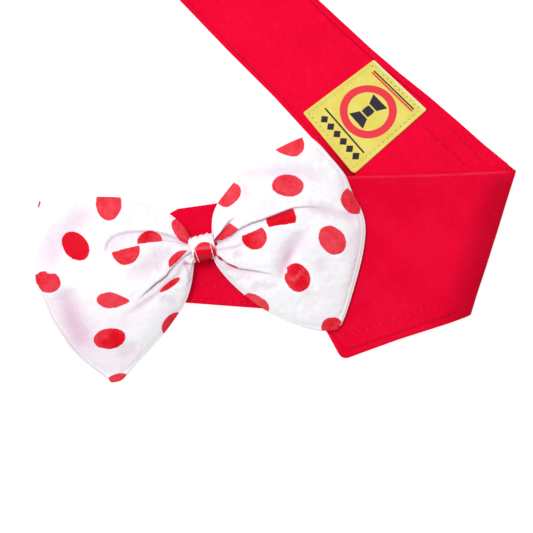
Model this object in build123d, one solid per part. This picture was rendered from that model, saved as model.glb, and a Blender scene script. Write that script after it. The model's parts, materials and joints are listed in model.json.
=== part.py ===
from build123d import *
import math
import os

# Bow tie on a folded, collar-like neck band, lying flat. Millimetres, +Z up.
# The origin is on the resting plane, below the middle of the woven label.
# The back of the band lies on Z = 0 and runs from the tail at the upper left
# down to the fold at the lower right. The front (leaf, then stand) is folded
# over it and runs back to -X. The bow sits on the front, its knot on the stand.
# "Left" is -X, "right" is +X and "upper" in plan is +Y.
# Plan points are (x, y) tuples.

os.makedirs("parts", exist_ok=True)

# ------------------------------------------------------------ shared sizes
GAP = 0.05                 # air between neighbouring layers
CORE_INSET = 2.0           # how far interfacing stops inside the edge
BACK_Z = 0.0               # underside of the back and the tail
BACK_PLY = 0.70            # cloth of the back and the tail
BACK_CORE = 0.60           # their interfacing
FRONT_Z = 3.2              # underside of the folded-over front
FRONT_PLY = 0.6            # cloth of the leaf and the stand
FRONT_CORE = 0.5           # their interfacing
PATCH_THICK = 0.6          # hook and loop tape
THREAD = 0.35              # width of a stitch
THREAD_RISE = 0.25         # height of a stitch
STITCH = 2.0               # stitch length
STITCH_PITCH = 2.9
ARC_STEPS = 7              # straight pieces in a rounded corner


# ------------------------------------------------------------- 2-D helpers
def unit(a, b):
    """Unit direction from a to b."""
    dx, dy = b[0] - a[0], b[1] - a[1]
    length = math.hypot(dx, dy)
    return dx / length, dy / length


def left_of(direction):
    """The direction turned 90 degrees counterclockwise."""
    return -direction[1], direction[0]


def shift(point, direction, distance):
    return point[0] + direction[0] * distance, point[1] + direction[1] * distance


def lerp(a, b, t):
    return a[0] + (b[0] - a[0]) * t, a[1] + (b[1] - a[1]) * t


def ccw(points):
    """The same polygon, counterclockwise."""
    doubled_area = sum(a[0] * b[1] - b[0] * a[1]
                       for a, b in zip(points, points[1:] + points[:1]))
    return points if doubled_area > 0 else points[::-1]


def closed(points):
    return points + points[:1]


def cross_point(p, u, q, v):
    """Where the line through p along u meets the line through q along v."""
    det = u[0] * v[1] - u[1] * v[0]
    t = ((q[0] - p[0]) * v[1] - (q[1] - p[1]) * v[0]) / det
    return shift(p, u, t)


def inset(points, distance):
    """Polygon moved inwards, edge by edge."""
    points = ccw(points)
    moved = []
    for i, corner in enumerate(points):
        u = unit(points[i - 1], corner)
        v = unit(corner, points[(i + 1) % len(points)])
        on_next = shift(corner, left_of(v), distance)
        if abs(u[0] * v[1] - u[1] * v[0]) < 1e-3:   # edges in one line
            moved.append(on_next)
        else:
            on_previous = shift(corner, left_of(u), distance)
            moved.append(cross_point(on_previous, u, on_next, v))
    return moved


def rounded(points, radii):
    """Polygon with arcs at some vertices; radii maps vertex index to radius."""
    result = []
    for i, corner in enumerate(points):
        if i not in radii:
            result.append(corner)
            continue
        radius = radii[i]
        u = unit(corner, points[i - 1])
        v = unit(corner, points[(i + 1) % len(points)])
        half = 0.5 * math.acos(u[0] * v[0] + u[1] * v[1])
        cut = radius / math.tan(half)
        start = shift(corner, u, cut)
        end = shift(corner, v, cut)
        bisector = unit(corner, lerp(start, end, 0.5))
        centre = shift(corner, bisector, radius / math.sin(half))
        angle0 = math.atan2(start[1] - centre[1], start[0] - centre[0])
        angle1 = math.atan2(end[1] - centre[1], end[0] - centre[0])
        turn = (angle1 - angle0 + math.pi) % (2 * math.pi) - math.pi
        for step in range(ARC_STEPS + 1):
            angle = angle0 + turn * step / ARC_STEPS
            result.append(shift(centre, (math.cos(angle), math.sin(angle)), radius))
    return result


def walk(points, start, pitch, margin):
    """Points and directions at an even pitch along a polyline."""
    legs = list(zip(points, points[1:]))
    total = sum(math.dist(a, b) for a, b in legs)
    places = []
    run = start
    while run <= total - margin:
        left = run
        for a, b in legs:
            length = math.dist(a, b)
            if left <= length:
                direction = unit(a, b)
                places.append((shift(a, direction, left), direction))
                break
            left -= length
        run += pitch
    return places


# ------------------------------------------------------------- 3-D helpers
def slab(points, z0, z1):
    """Flat plate with the given outline."""
    ring = [Vector(x, y, z0) for x, y in ccw(points)]
    face = Face(Wire.make_polygon(ring, close=True))
    return Solid.extrude(face, Vector(0, 0, z1 - z0))


def pillow(points, centre, levels):
    """Ruled loft of the outline, scaled about centre at each (z, scale)."""
    cx, cy = centre
    sections = []
    for z, scale in levels:
        ring = [Vector(cx + (x - cx) * scale, cy + (y - cy) * scale, z)
                for x, y in ccw(points)]
        sections.append(Wire.make_polygon(ring, close=True))
    return Solid.make_loft(sections, ruled=True)


def standing_box(length, width, height):
    """Box with its base on Z = 0."""
    return Box(length, width, height, align=(Align.CENTER, Align.CENTER, Align.MIN))


def stitches(points, z, pitch=STITCH_PITCH, length=STITCH, start=1.6, margin=1.2):
    """Row of stitches along a polyline, standing on height z."""
    row = []
    for (x, y), (ux, uy) in walk(points, start, pitch, margin):
        turn = math.degrees(math.atan2(uy, ux))
        place = Location((x, y, z), (0, 0, turn))
        row.append(place * standing_box(length, THREAD, THREAD_RISE))
    return row


def write(name, shapes):
    """Write one shape or a list of shapes as one STEP file."""
    if not isinstance(shapes, list):
        shapes = [shapes]
    solids = []
    for shape in shapes:
        solids.extend(shape.solids())
    piece = solids[0] if len(solids) == 1 else Compound(solids)
    piece.label = name
    export_step(piece, f"parts/{name}.step")


def write_layers(outline, bottom, ply, core, names):
    """Write cloth, interfacing and cloth, lowest first; return the top height."""
    core_z = bottom + ply + GAP
    upper_z = core_z + core + GAP
    write(names[0], slab(outline, bottom, bottom + ply))
    write(names[1], slab(inset(outline, CORE_INSET), core_z, core_z + core))
    write(names[2], slab(outline, upper_z, upper_z + ply))
    return upper_z + ply


def write_sewn(name, stitching, outline, below, thick, seam_inset, **stitch_sizes):
    """Write a flat piece that lies on height below, and the stitches round it."""
    bottom = below + GAP
    top = bottom + thick
    write(name, slab(outline, bottom, top))
    write(stitching, stitches(closed(inset(outline, seam_inset)), top, **stitch_sizes))


def write_patch(name, outline, below):
    """Piece of hook or loop tape and its stitching."""
    write_sewn(name, f"{name}_stitching", outline, below, PATCH_THICK,
               seam_inset=1.4, pitch=2.5, length=1.6)


# ------------------------------------------------- fold, at the right end
FOLD_UPPER = (61.0, -22.8)     # outside of the fold, upper and lower end
FOLD_LOWER = (42.6, -81.0)
FOLD_R = 2.5                   # outside radius of the outer cloth
FOLD_INNER_R = 1.15            # outside radius of the inner cloth
FOLD_INNER_HOLE_R = 0.5
FOLD_SETBACK = 0.5             # flat layers stop this far from the fold axis
FOLD_END_TRIM = 1.5            # the bend is shorter than the fold by this per end

fold_out = left_of(unit(FOLD_UPPER, FOLD_LOWER))    # outwards, to the right
# ends of the flat layers, short of the fold axis
cut_upper, cut_lower = (shift(end, fold_out, -FOLD_R - FOLD_SETBACK)
                        for end in (FOLD_UPPER, FOLD_LOWER))


def cloth_bend(outer_r, inner_r):
    """Half tube along the fold axis, bulging outwards."""
    length = math.dist(FOLD_UPPER, FOLD_LOWER) - 2 * FOLD_END_TRIM
    ring = Cylinder(outer_r, length) - Cylinder(inner_r, length)
    keep = Box(outer_r * 2, outer_r * 4, length * 2,
               align=(Align.MIN, Align.CENTER, Align.CENTER))
    half = ring & keep
    x, y = shift(lerp(FOLD_UPPER, FOLD_LOWER, 0.5), fold_out, -FOLD_R)
    turn = math.degrees(math.atan2(fold_out[1], fold_out[0]))
    return Location((x, y, BACK_Z + FOLD_R), (0, 0, turn)) * (Rot(90, 0, 0) * half)


write("fold_bend_outer_layer", cloth_bend(FOLD_R, FOLD_R - BACK_PLY))
write("fold_bend_inner_layer", cloth_bend(FOLD_INNER_R, FOLD_INNER_HOLE_R))

# ----------------------------------- line where the tail meets the back
BEND_L = (-79.2, 50.9)
BEND_R = (-50.7, 79.0)
BEND_CLEARANCE = 0.1           # back and tail each stop this far from the line

bend_across = unit(BEND_L, BEND_R)
tail_out = left_of(bend_across)
bend_middle = lerp(BEND_L, BEND_R, 0.5)
bend_half = math.dist(BEND_L, BEND_R) / 2


def on_tail(out, across):
    """Point out along the tail and across it, from the bend line's middle."""
    return shift(shift(bend_middle, tail_out, out), bend_across, across)


# -------------------------------------------------------- back of the band
# lower left and upper right edges, both from the tail end down
BACK_LEFT = [(-73.9, 45.3), (-55.5, 26.1), (-36.3, 6.9), (-18.7, -12.3),
             (-7.9, -24.3)]
BACK_RIGHT = [(-17.9, 45.3), (2.9, 26.1), (14.1, 16.5), (26.1, 6.9),
              (37.3, -2.7), (48.1, -12.3)]

back_end_l = on_tail(-BEND_CLEARANCE, -bend_half)
back_end_r = on_tail(-BEND_CLEARANCE, bend_half)
back = ([back_end_l] + BACK_LEFT + [cut_lower, cut_upper]
        + BACK_RIGHT[::-1] + [back_end_r])
back_top = write_layers(back, BACK_Z, BACK_PLY, BACK_CORE,
                        ("back_outer_layer", "back_interfacing", "back_inner_layer"))

# rolled edge: stepped bar on the back, just inside its upper right edge
ROLL_WIDTH = 2.3
ROLL_HEIGHT = 0.9
ROLL_EDGE_INSET = 0.15
ROLL_STEP = 0.5                # the upper half is this much narrower all round


def rolled_edge():
    path = [back_end_r] + BACK_RIGHT[:4]
    outer_side = []
    inner_side = []
    for i, point in enumerate(path):
        ux, uy = unit(path[max(0, i - 1)], path[min(len(path) - 1, i + 1)])
        inwards = (-abs(uy), -abs(ux))
        outer_side.append(shift(point, inwards, ROLL_EDGE_INSET))
        inner_side.append(shift(point, inwards, ROLL_EDGE_INSET + ROLL_WIDTH))
    outline = outer_side + inner_side[::-1]
    step_z = back_top + ROLL_HEIGHT / 2
    lower = slab(outline, back_top, step_z)
    upper = slab(inset(outline, ROLL_STEP), step_z, back_top + ROLL_HEIGHT)
    return lower + upper


write("back_rolled_edge", rolled_edge())

# woven label
LABEL = [(3.8, 21.5), (-24.5, 0.3), (-4.2, -23.5), (24.9, 1.6)]
write_sewn("woven_label", "label_stitching", LABEL, back_top, thick=0.5,
           seam_inset=1.7, pitch=2.2, length=1.3, start=1.1, margin=0.8)

# topstitching: two rows down to the fold, and one along the lower left edge
FOLD_ROW_LEFT = [(24.0, -4.7), (28.7, -9.8), (33.8, -14.2), (38.9, -18.6),
                 (41.3, -21.7)]
FOLD_ROW_RIGHT = [(34.9, -5.9), (40.1, -11.6), (48.1, -19.5)]
EDGE_ROW_SHIFT = 1.15          # in x and in y, from the edge

edge_row = [lerp(BACK_LEFT[0], BACK_LEFT[1], 0.02)] + BACK_LEFT[1:4]
edge_row = [(x + EDGE_ROW_SHIFT, y + EDGE_ROW_SHIFT) for x, y in edge_row]
write("back_topstitch",
      stitches(FOLD_ROW_LEFT, back_top) + stitches(FOLD_ROW_RIGHT, back_top)
      + stitches(edge_row, back_top))

# --------------------------------------------------------- fastening tail
TAIL_LENGTH = 56.0             # beyond the bend line
TAIL_TIP_WIDTH = 34.0
TAIL_TIP_R = 11.0
TAIL_SEAM_INSET = 2.2

tail = rounded([on_tail(BEND_CLEARANCE, bend_half),
                on_tail(TAIL_LENGTH, TAIL_TIP_WIDTH / 2),
                on_tail(TAIL_LENGTH, -TAIL_TIP_WIDTH / 2),
                on_tail(BEND_CLEARANCE, -bend_half)],
               {1: TAIL_TIP_R, 2: TAIL_TIP_R})
tail_top = write_layers(tail, BACK_Z, BACK_PLY, BACK_CORE,
                        ("tail_outer_layer", "tail_interfacing", "tail_inner_layer"))
write("tail_topstitch", stitches(closed(inset(tail, TAIL_SEAM_INSET)), tail_top))

# hook tape: (out along the tail, across it)
HOOK = [(24, -12.5), (24, 12.5), (49, 12.5), (49, -12.5)]
hook = [on_tail(out, across) for out, across in HOOK]
write_patch("hook_patch", rounded(hook, {0: 2.0, 1: 2.0, 2: 6.0, 3: 6.0}), tail_top)

# ------------------------------------------------------------- front leaf
# from the fold's upper end, round the left side, to its lower end
LEAF = [(26.1, -24.3), (-7.1, -25.1), (-47.5, -33.5), (-15.3, -87.3),
        (-9.0, -98.8), (13.3, -90.7), (33.3, -84.3)]
POINT_INDEX = 4                # the collar point in LEAF
POINT_R = 3.2

leaf = rounded([cut_upper] + LEAF + [cut_lower], {POINT_INDEX + 1: POINT_R})
front_top = write_layers(leaf, FRONT_Z, FRONT_PLY, FRONT_CORE,
                         ("front_leaf_lining", "front_leaf_interfacing",
                          "front_leaf_outer"))

lower_edge = unit(LEAF[POINT_INDEX], LEAF[-1])


def lower_edge_row(offset, start, end):
    """Line parallel to the leaf's lower edge; distances from the point."""
    return [shift(shift(LEAF[POINT_INDEX], lower_edge, along), left_of(lower_edge), offset)
            for along in (start, end)]


LEFT_EDGE_ROW = [(-45.0, -34.6), (-14.0, -86.7), (-7.6, -95.2)]
write("leaf_topstitch_outer_row", stitches(lower_edge_row(3.2, 2.6, 50.0), front_top))
write("leaf_topstitch_inner_row", stitches(lower_edge_row(8.6, 6.0, 50.0), front_top))
write("leaf_edge_topstitch", stitches(LEFT_EDGE_ROW, front_top))

# ------------------------------------------------------------ front stand
# from the leaf's upper corner, round the free left end, to the leaf's side
STAND = [(-47.7, -33.6), (-58.7, -35.9), (-75.5, -38.3), (-103.9, -43.9),
         (-103.9, -73.5), (-71.1, -75.9), (-38.7, -78.3), (-20.9, -78.7)]
STAND_END_R = 7.0
STAND_LOWER_ROW = [(-101.5, -72.0), (-71.1, -74.3), (-38.7, -76.7), (-22.5, -77.2)]
STAND_UPPER_ROW = [(-101.5, -66.0), (-71.1, -68.2), (-38.7, -70.0), (-27.5, -70.6)]

write_layers(rounded(STAND, {3: STAND_END_R, 4: STAND_END_R}),
             FRONT_Z, FRONT_PLY, FRONT_CORE,
             ("front_stand_lining", "front_stand_interfacing", "front_stand_outer"))
write("stand_topstitch",
      stitches(STAND_LOWER_ROW, front_top) + stitches(STAND_UPPER_ROW, front_top))

# loop tape on the stand's free end, below the left wing
LOOP = [(-100.5, -47.0), (-100.5, -63.5), (-80.5, -64.8), (-80.5, -43.4)]
write_patch("loop_patch", rounded(LOOP, {0: 4.0, 1: 4.0, 2: 2.0, 3: 2.0}), front_top)

# ------------------------------------------------------------------- knot
KNOT_CENTRE = (-64.7, -53.5)
KNOT_TILT = 15.0               # bow axis against +X, degrees
KNOT_LENGTH = 9.6              # along the bow axis
KNOT_WIDTH = 10.6              # across the bow axis
KNOT_BOTTOM = 5.30
KNOT_TOP = 17.0
KNOT_WALL = 1.2
TACK_CLEARANCE = 0.02          # between the tacks and the stand


def knot_bar(length, margin, radius):
    """Bar along X with rounded long edges, margin inside the knot's outside."""
    with BuildPart() as bar:
        with BuildSketch(Plane.YZ):
            RectangleRounded(KNOT_WIDTH - 2 * margin,
                             KNOT_TOP - KNOT_BOTTOM - 2 * margin, radius)
        extrude(amount=length / 2, both=True)
    return bar.part


def on_knot(shape, along=0, across=0, z=(KNOT_BOTTOM + KNOT_TOP) / 2):
    """Place a shape by the bow axis; by default at the knot's middle."""
    frame = Location((*KNOT_CENTRE, 0), (0, 0, KNOT_TILT))
    return frame * (Pos(along, across, z) * shape)


wrap = (knot_bar(KNOT_LENGTH, 0, radius=4.2)
        - knot_bar(KNOT_LENGTH + 2, KNOT_WALL, radius=3.2))
write("knot_wrap", on_knot(wrap))
write("gather_core", on_knot(knot_bar(KNOT_LENGTH - 0.2, KNOT_WALL + 0.6, radius=2.6)))

# three turns of thread round the core, inside the wrap
thread_turn = (knot_bar(0.5, KNOT_WALL + 0.1, radius=3.1)
               - knot_bar(2.0, KNOT_WALL + 0.55, radius=2.65))
write("gathering_thread", [on_knot(thread_turn, along) for along in (-1.2, 0.0, 1.2)])

# stitches across the top of the wrap, near both ends
edge_along = KNOT_LENGTH / 2 - 0.9
write("knot_edge_stitching",
      [on_knot(standing_box(THREAD, 1.5, THREAD_RISE), along, across, KNOT_TOP)
       for along in (-edge_along, edge_along)
       for across in (-2.4, -0.2, 2.0)])

# short tacks between the stand and the knot
tack_z = front_top + TACK_CLEARANCE
write("bow_tack_stitches",
      [on_knot(standing_box(1.4, 0.5, KNOT_BOTTOM - tack_z), along, across, tack_z)
       for along in (-2.2, 2.2)
       for across in (-1.6, 1.6)])

# ------------------------------------------------------------------ wings
WING_BOTTOM = 6.2
SEAM_Z = 9.5                   # height of the edge seam
SEAM_HALF_GAP = 0.02
WING_TOP = 19.0
LEFT_CENTRE = (-99.0, -68.0)   # the sections shrink towards these
RIGHT_CENTRE = (-30.0, -50.0)
WING_L = [(-131.0, -37.9), (-128.5, -33.3), (-107.7, -33.6), (-97.7, -33.8),
          (-85.9, -37.1), (-78.5, -40.3), (-72.1, -46.0), (-71.2, -50.1),
          (-68.6, -60.7), (-69.2, -68.4), (-71.2, -75.0), (-79.5, -87.0),
          (-91.4, -100.2), (-97.7, -106.9), (-100.7, -107.8),
          (-112.0, -99.5), (-118.0, -93.6), (-125.2, -82.3),
          (-131.9, -66.3), (-131.6, -63.1)]
WING_R = [(-60.8, -47.3), (-60.9, -44.0), (-60.5, -40.7), (-58.7, -36.0),
          (-52.3, -27.7), (-47.6, -23.4), (-35.8, -14.9), (-25.9, -10.0),
          (-22.4, -9.4), (-14.7, -17.3), (-8.3, -24.9), (-1.5, -38.4),
          (0.1, -44.9), (-0.6, -52.5), (-4.8, -70.1), (-9.4, -83.0),
          (-11.2, -86.5), (-18.2, -86.5), (-26.5, -84.8), (-38.8, -79.2),
          (-47.6, -73.0), (-56.4, -64.8), (-58.9, -60.7), (-58.2, -56.9)]

# sections as (z, scale of the outline); the front panel is the upper one
FRONT_OUTSIDE = [(SEAM_Z + SEAM_HALF_GAP, 1.0), (13.0, 0.95), (17.0, 0.80),
                 (WING_TOP, 0.50)]
FRONT_HOLLOW = [(SEAM_Z - 0.5, 0.97), (12.4, 0.915), (16.1, 0.765),
                (WING_TOP - 0.9, 0.465)]
BACK_OUTSIDE = [(SEAM_Z - SEAM_HALF_GAP, 1.0), (7.4, 0.95), (WING_BOTTOM, 0.80)]
BACK_HOLLOW = [(SEAM_Z + 0.5, 0.97), (7.9, 0.92), (WING_BOTTOM + 0.8, 0.77)]
WADDING = [(7.3, 0.70), (8.2, 0.88), (9.6, 0.93), (12.0, 0.88), (15.5, 0.72),
           (17.5, 0.42)]

for side, outline, centre in (("left", WING_L, LEFT_CENTRE),
                              ("right", WING_R, RIGHT_CENTRE)):
    write(f"{side}_wing_front_panel",
          pillow(outline, centre, FRONT_OUTSIDE) - pillow(outline, centre, FRONT_HOLLOW))
    write(f"{side}_wing_back_panel",
          pillow(outline, centre, BACK_OUTSIDE) - pillow(outline, centre, BACK_HOLLOW))
    write(f"{side}_wing_wadding", pillow(outline, centre, WADDING))
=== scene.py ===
# A bow tie lying flat, seen from above: x to the right, y up the view, z
# towards the viewer. The red twill band runs from its tail at the upper left
# down to a fold at the right, where it turns over and comes back to the left
# as the front leaf and stand. The woven label lies on the lower layer, and
# the dotted cotton bow on top of the front.
import json
import math

import bmesh
import bpy
import numpy as np
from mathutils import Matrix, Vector


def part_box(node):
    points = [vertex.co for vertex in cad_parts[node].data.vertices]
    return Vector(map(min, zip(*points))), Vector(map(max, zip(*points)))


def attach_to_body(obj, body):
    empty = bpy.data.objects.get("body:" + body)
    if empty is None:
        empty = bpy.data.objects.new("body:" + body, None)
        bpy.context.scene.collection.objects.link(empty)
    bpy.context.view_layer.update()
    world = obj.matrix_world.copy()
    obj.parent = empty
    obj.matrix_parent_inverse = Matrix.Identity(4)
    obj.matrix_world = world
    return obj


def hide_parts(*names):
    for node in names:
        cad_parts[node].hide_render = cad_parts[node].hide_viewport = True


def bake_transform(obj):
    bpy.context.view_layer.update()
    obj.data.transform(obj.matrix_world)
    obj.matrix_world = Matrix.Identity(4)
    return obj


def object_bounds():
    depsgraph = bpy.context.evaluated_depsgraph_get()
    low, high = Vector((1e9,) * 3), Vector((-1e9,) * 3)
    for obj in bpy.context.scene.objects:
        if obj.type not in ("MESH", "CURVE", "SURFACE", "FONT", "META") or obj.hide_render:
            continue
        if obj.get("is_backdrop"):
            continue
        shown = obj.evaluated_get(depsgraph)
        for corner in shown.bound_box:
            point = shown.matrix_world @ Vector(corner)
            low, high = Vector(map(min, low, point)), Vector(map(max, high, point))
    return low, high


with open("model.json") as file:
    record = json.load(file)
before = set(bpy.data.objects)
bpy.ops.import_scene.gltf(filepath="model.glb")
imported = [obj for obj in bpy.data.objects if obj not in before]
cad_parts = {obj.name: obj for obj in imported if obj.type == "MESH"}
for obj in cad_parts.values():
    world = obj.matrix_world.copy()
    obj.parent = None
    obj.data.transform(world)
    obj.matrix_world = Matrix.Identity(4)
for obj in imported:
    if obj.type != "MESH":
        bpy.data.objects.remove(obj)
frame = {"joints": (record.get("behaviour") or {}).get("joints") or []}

low_corner, high_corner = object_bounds()
CAD_BOX = [list(low_corner), list(high_corner)]

# ------------------------------------------------------------- driving sizes
# Metres unless a name or comment says mm. The bow, the short stitch rows and
# the view are drawn in mm from the middle of the woven label.
MM = 0.001
label_low, label_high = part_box("woven_label")
LABEL_MID = np.array((label_low + label_high) / 2)[:2]
LABEL_Z = label_high.z

BACK_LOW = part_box("back_outer_layer")[0].z
BACK_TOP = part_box("back_inner_layer")[1].z
FRONT_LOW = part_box("front_leaf_lining")[0].z
FRONT_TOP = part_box("front_leaf_outer")[1].z
BACK_RIM = (BACK_TOP - BACK_LOW) / 2 * 0.9
FRONT_RIM = (FRONT_TOP - FRONT_LOW) / 2 * 0.9
KNOT_LOW, KNOT_TOP = (corner.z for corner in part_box("knot_wrap"))
KNOT_Z = (KNOT_LOW + KNOT_TOP) / 2

STITCH = 0.0020                   # length of a stitch
STITCH_PITCH = 0.0029
ROW_START, ROW_END = 0.0016, 0.0012      # bare lengths at a row's ends

VIEW_MID = np.array([-39.48, -60.32])    # mm from the label's middle
VIEW_WIDTH = 0.2132               # width in view at the view plane
VIEW_PLANE = 0.006                # height at which the drawing is true
LENS, SENSOR = 200.0, 36.0        # mm
CAMERA_FAR = VIEW_WIDTH * LENS / SENSOR  # camera above the view plane

# Cloth mottling and the plain dots are counted right and down from here, mm.
PATTERN_ORIGIN = (-146.08, 46.28)

JOINTS = {entry["name"]: entry for entry in frame["joints"]}


def metres(points):
    return np.asarray(points, float) * MM


def from_label(points):
    """Drawing points, mm from the label's middle, to metres."""
    return LABEL_MID + metres(points)


def nearness(z):
    """Distance from the camera at height z, as a share of CAMERA_FAR."""
    return np.asarray((CAMERA_FAR - (z - VIEW_PLANE)) / CAMERA_FAR)[..., None]


def seen(plan, z):
    """Drawing point at which the camera sees a plan point at height z."""
    return VIEW_MID + ((plan - LABEL_MID) / MM - VIEW_MID) / nearness(z)


def placed(drawn, z):
    """Plan point in metres, at height z, seen at a drawing point."""
    return from_label(VIEW_MID + (drawn - VIEW_MID) * nearness(z))


def pattern_xy(x, y):
    return x - PATTERN_ORIGIN[0], PATTERN_ORIGIN[1] - y


# ------------------------------------------------------------ small functions
def hash01(i, seed=0):
    value = np.sin(np.asarray(i, float) * 12.9898 + seed * 78.233) * 43758.5453
    return value - np.floor(value)


def smooth(x):
    x = np.clip(x, 0, 1)
    return x * x * (3 - 2 * x)


def noise(x, y, scale, seed=0):
    """Smooth value noise in -1..1."""
    x = np.asarray(x, float) / scale
    y = np.asarray(y, float) / scale
    xi, yi = np.floor(x), np.floor(y)
    u, v = smooth(x - xi), smooth(y - yi)

    def corner(a, b):
        return hash01(a * 127.1 + b * 311.7, seed)

    value = (corner(xi, yi) * (1 - u) * (1 - v) + corner(xi + 1, yi) * u * (1 - v)
             + corner(xi, yi + 1) * (1 - u) * v + corner(xi + 1, yi + 1) * u * v)
    return value * 2 - 1


def bell(distance, width, centre=0.0):
    return np.exp(-((distance - centre) / width) ** 2)


def unit(vector):
    length = np.linalg.norm(vector, axis=-1, keepdims=True)
    return vector / np.maximum(1e-12, length)


def left_of(vector):
    """The vector turned a quarter to the left."""
    return np.stack([-vector[..., 1], vector[..., 0]], -1)


# ------------------------------------------------------------ lines and grids
def arc_length(points):
    steps = np.sqrt(((points[1:] - points[:-1]) ** 2).sum(1))
    return np.concatenate([[0], np.cumsum(steps)])


def smooth_curve(points):
    """Catmull-Rom curve through the points, 16 steps to each span."""
    padded = np.concatenate([[2 * points[0] - points[1]], points,
                             [2 * points[-1] - points[-2]]])

    def blend(a, b, start, end, t):
        return (end - t) / (end - start) * a + (t - start) / (end - start) * b

    curve = []
    for p0, p1, p2, p3 in zip(padded, padded[1:], padded[2:], padded[3:]):
        # centripetal knots keep the curve from overshooting
        gaps = [max(1e-9, np.linalg.norm(b - a)) ** 0.5
                for a, b in ((p0, p1), (p1, p2), (p2, p3))]
        t0, t1, t2, t3 = np.cumsum([0.0] + gaps)
        for t in np.linspace(t1, t2, 16, endpoint=False):
            a1 = blend(p0, p1, t0, t1, t)
            a2 = blend(p1, p2, t1, t2, t)
            a3 = blend(p2, p3, t2, t3, t)
            curve.append(blend(blend(a1, a2, t0, t2, t),
                               blend(a2, a3, t1, t3, t), t1, t2, t))
    curve.append(points[-1])
    return np.array(curve)


def resample(points, count, curved=False):
    """Evenly spaced points along a polyline, or a smooth curve through it."""
    points = np.asarray(points, float)
    if curved and len(points) > 2:
        points = smooth_curve(points)
    length = arc_length(points)
    wanted = np.linspace(0, length[-1], count)
    return np.stack([np.interp(wanted, length, column) for column in points.T], 1)


def coons(v_low, v_high, u_low, u_high):
    """Coons surface grid between two pairs of facing edges."""
    u = np.linspace(0, 1, len(v_low))[:, None, None]
    v = np.linspace(0, 1, len(u_low))[None, :, None]
    between_v = (1 - v) * v_low[:, None, :] + v * v_high[:, None, :]
    between_u = (1 - u) * u_low[None, :, :] + u * u_high[None, :, :]
    corners = ((1 - u) * (1 - v) * v_low[0] + u * (1 - v) * v_low[-1]
               + (1 - u) * v * v_high[0] + u * v * v_high[-1])
    return between_v + between_u - corners


def turn_sign(loop):
    """1 for a loop that runs anticlockwise, otherwise -1."""
    x, y = loop[:, 0], loop[:, 1]
    return 1.0 if np.sum(x * np.roll(y, -1) - np.roll(x, -1) * y) > 0 else -1.0


def inset_loop(loop, distance):
    """Closed polygon moved inwards, edge by edge, order kept."""
    loop = np.asarray(loop, float)
    normal = left_of(unit(np.roll(loop, -1, 0) - loop)) * turn_sign(loop)
    middle = unit(np.roll(normal, 1, 0) + normal)
    share = np.maximum(0.35, (middle * normal).sum(1))
    return loop + middle * distance / share[:, None]


def closed(loop):
    return np.concatenate([loop, loop[:1]])


def patch_grid(sides, inset, rows, columns, curved=False):
    """Plan grid inside four sides: v low, u high, v high and u low. The v
    sides run with u and the u sides with v; all share their corners."""
    v_low, u_high, v_high, u_low = [np.asarray(side, float) for side in sides]
    ring = [v_low, u_high, v_high[::-1], u_low[::-1]]
    loop = closed(inset_loop(np.concatenate([side[:-1] for side in ring]), inset))
    ends = np.cumsum([0] + [len(side) - 1 for side in ring])
    v_low, u_high, v_high, u_low = [loop[a:b + 1] for a, b in zip(ends, ends[1:])]
    return coons(resample(v_low, rows, curved), resample(v_high[::-1], rows, curved),
                 resample(u_low[::-1], columns, curved),
                 resample(u_high, columns, curved))


def corner_arc(before, corner, after, radius, steps=7):
    """Points of the arc that rounds a corner, from before to after."""
    u, v = unit(before - corner), unit(after - corner)
    half_angle = 0.5 * math.acos(float(np.clip(u @ v, -1, 1)))
    cut = radius / math.tan(half_angle)
    start, end = corner + u * cut, corner + v * cut
    centre = corner + unit((start + end) / 2 - corner) * radius / math.sin(half_angle)
    angle = math.atan2(*(start - centre)[::-1])
    turn = math.atan2(*(end - centre)[::-1]) - angle
    turn = (turn + math.pi) % (2 * math.pi) - math.pi
    angles = angle + turn * np.arange(steps + 1) / steps
    return centre + radius * np.stack([np.cos(angles), np.sin(angles)], 1)


def nearest(px, py, line):
    """Distance to a polyline, the side of it and the place along it, 0..1."""
    line = np.asarray(line, float)
    length = arc_length(line)
    best = np.full(px.shape, 1e9)
    side = np.zeros(px.shape)
    place = np.zeros(px.shape)
    for i, (start, end) in enumerate(zip(line, line[1:])):
        dx, dy = end - start
        x, y = px - start[0], py - start[1]
        share = np.clip((x * dx + y * dy) / max(1e-9, dx * dx + dy * dy), 0, 1)
        distance = np.hypot(x - share * dx, y - share * dy)
        hit = distance < best
        best = np.where(hit, distance, best)
        side = np.where(hit, np.sign(dx * y - dy * x), side)
        here = (length[i] + share * (length[i + 1] - length[i])) / length[-1]
        place = np.where(hit, here, place)
    return best, side, place


def line_distance(plan, line):
    """Distance in mm from the points of a plan grid to a line in metres."""
    return nearest(plan[..., 0] / MM, plan[..., 1] / MM, np.asarray(line) / MM)[0]


def turned(x, y, centre_x, centre_y, degrees):
    """Coordinates about a centre, on axes turned by the given angle."""
    c, s = math.cos(math.radians(degrees)), math.sin(math.radians(degrees))
    dx, dy = x - centre_x, y - centre_y
    return dx * c + dy * s, dy * c - dx * s


def oval(x, y, centre_x, centre_y, radius, across, turn=0.0, tip_radius=None,
         taper=0.0):
    """About the distance inside an oval, mm. Its positive end may be
    longer, and narrow by the given share."""
    along, side = turned(x, y, centre_x, centre_y, turn)
    tip_radius = radius if tip_radius is None else tip_radius
    a = np.where(along > 0, tip_radius, radius)
    b = across * (1 - taper * np.clip(along / tip_radius, 0, 1))
    q = np.sqrt((along / a) ** 2 + (side / b) ** 2) + 1e-9
    slope = np.sqrt((along / a ** 2) ** 2 + (side / b ** 2) ** 2) / q + 1e-9
    return np.clip((1 - q) / slope, -12, 12)


def half_plane(x, y, start, end, keep):
    """Signed distance to a line, positive on the side of the point keep."""
    dx, dy = unit(np.subtract(end, start).astype(float))
    side = dx * (y - start[1]) - dy * (x - start[0])
    kept = dx * (keep[1] - start[1]) - dy * (keep[0] - start[0])
    return side * (1 if kept > 0 else -1)


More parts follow.
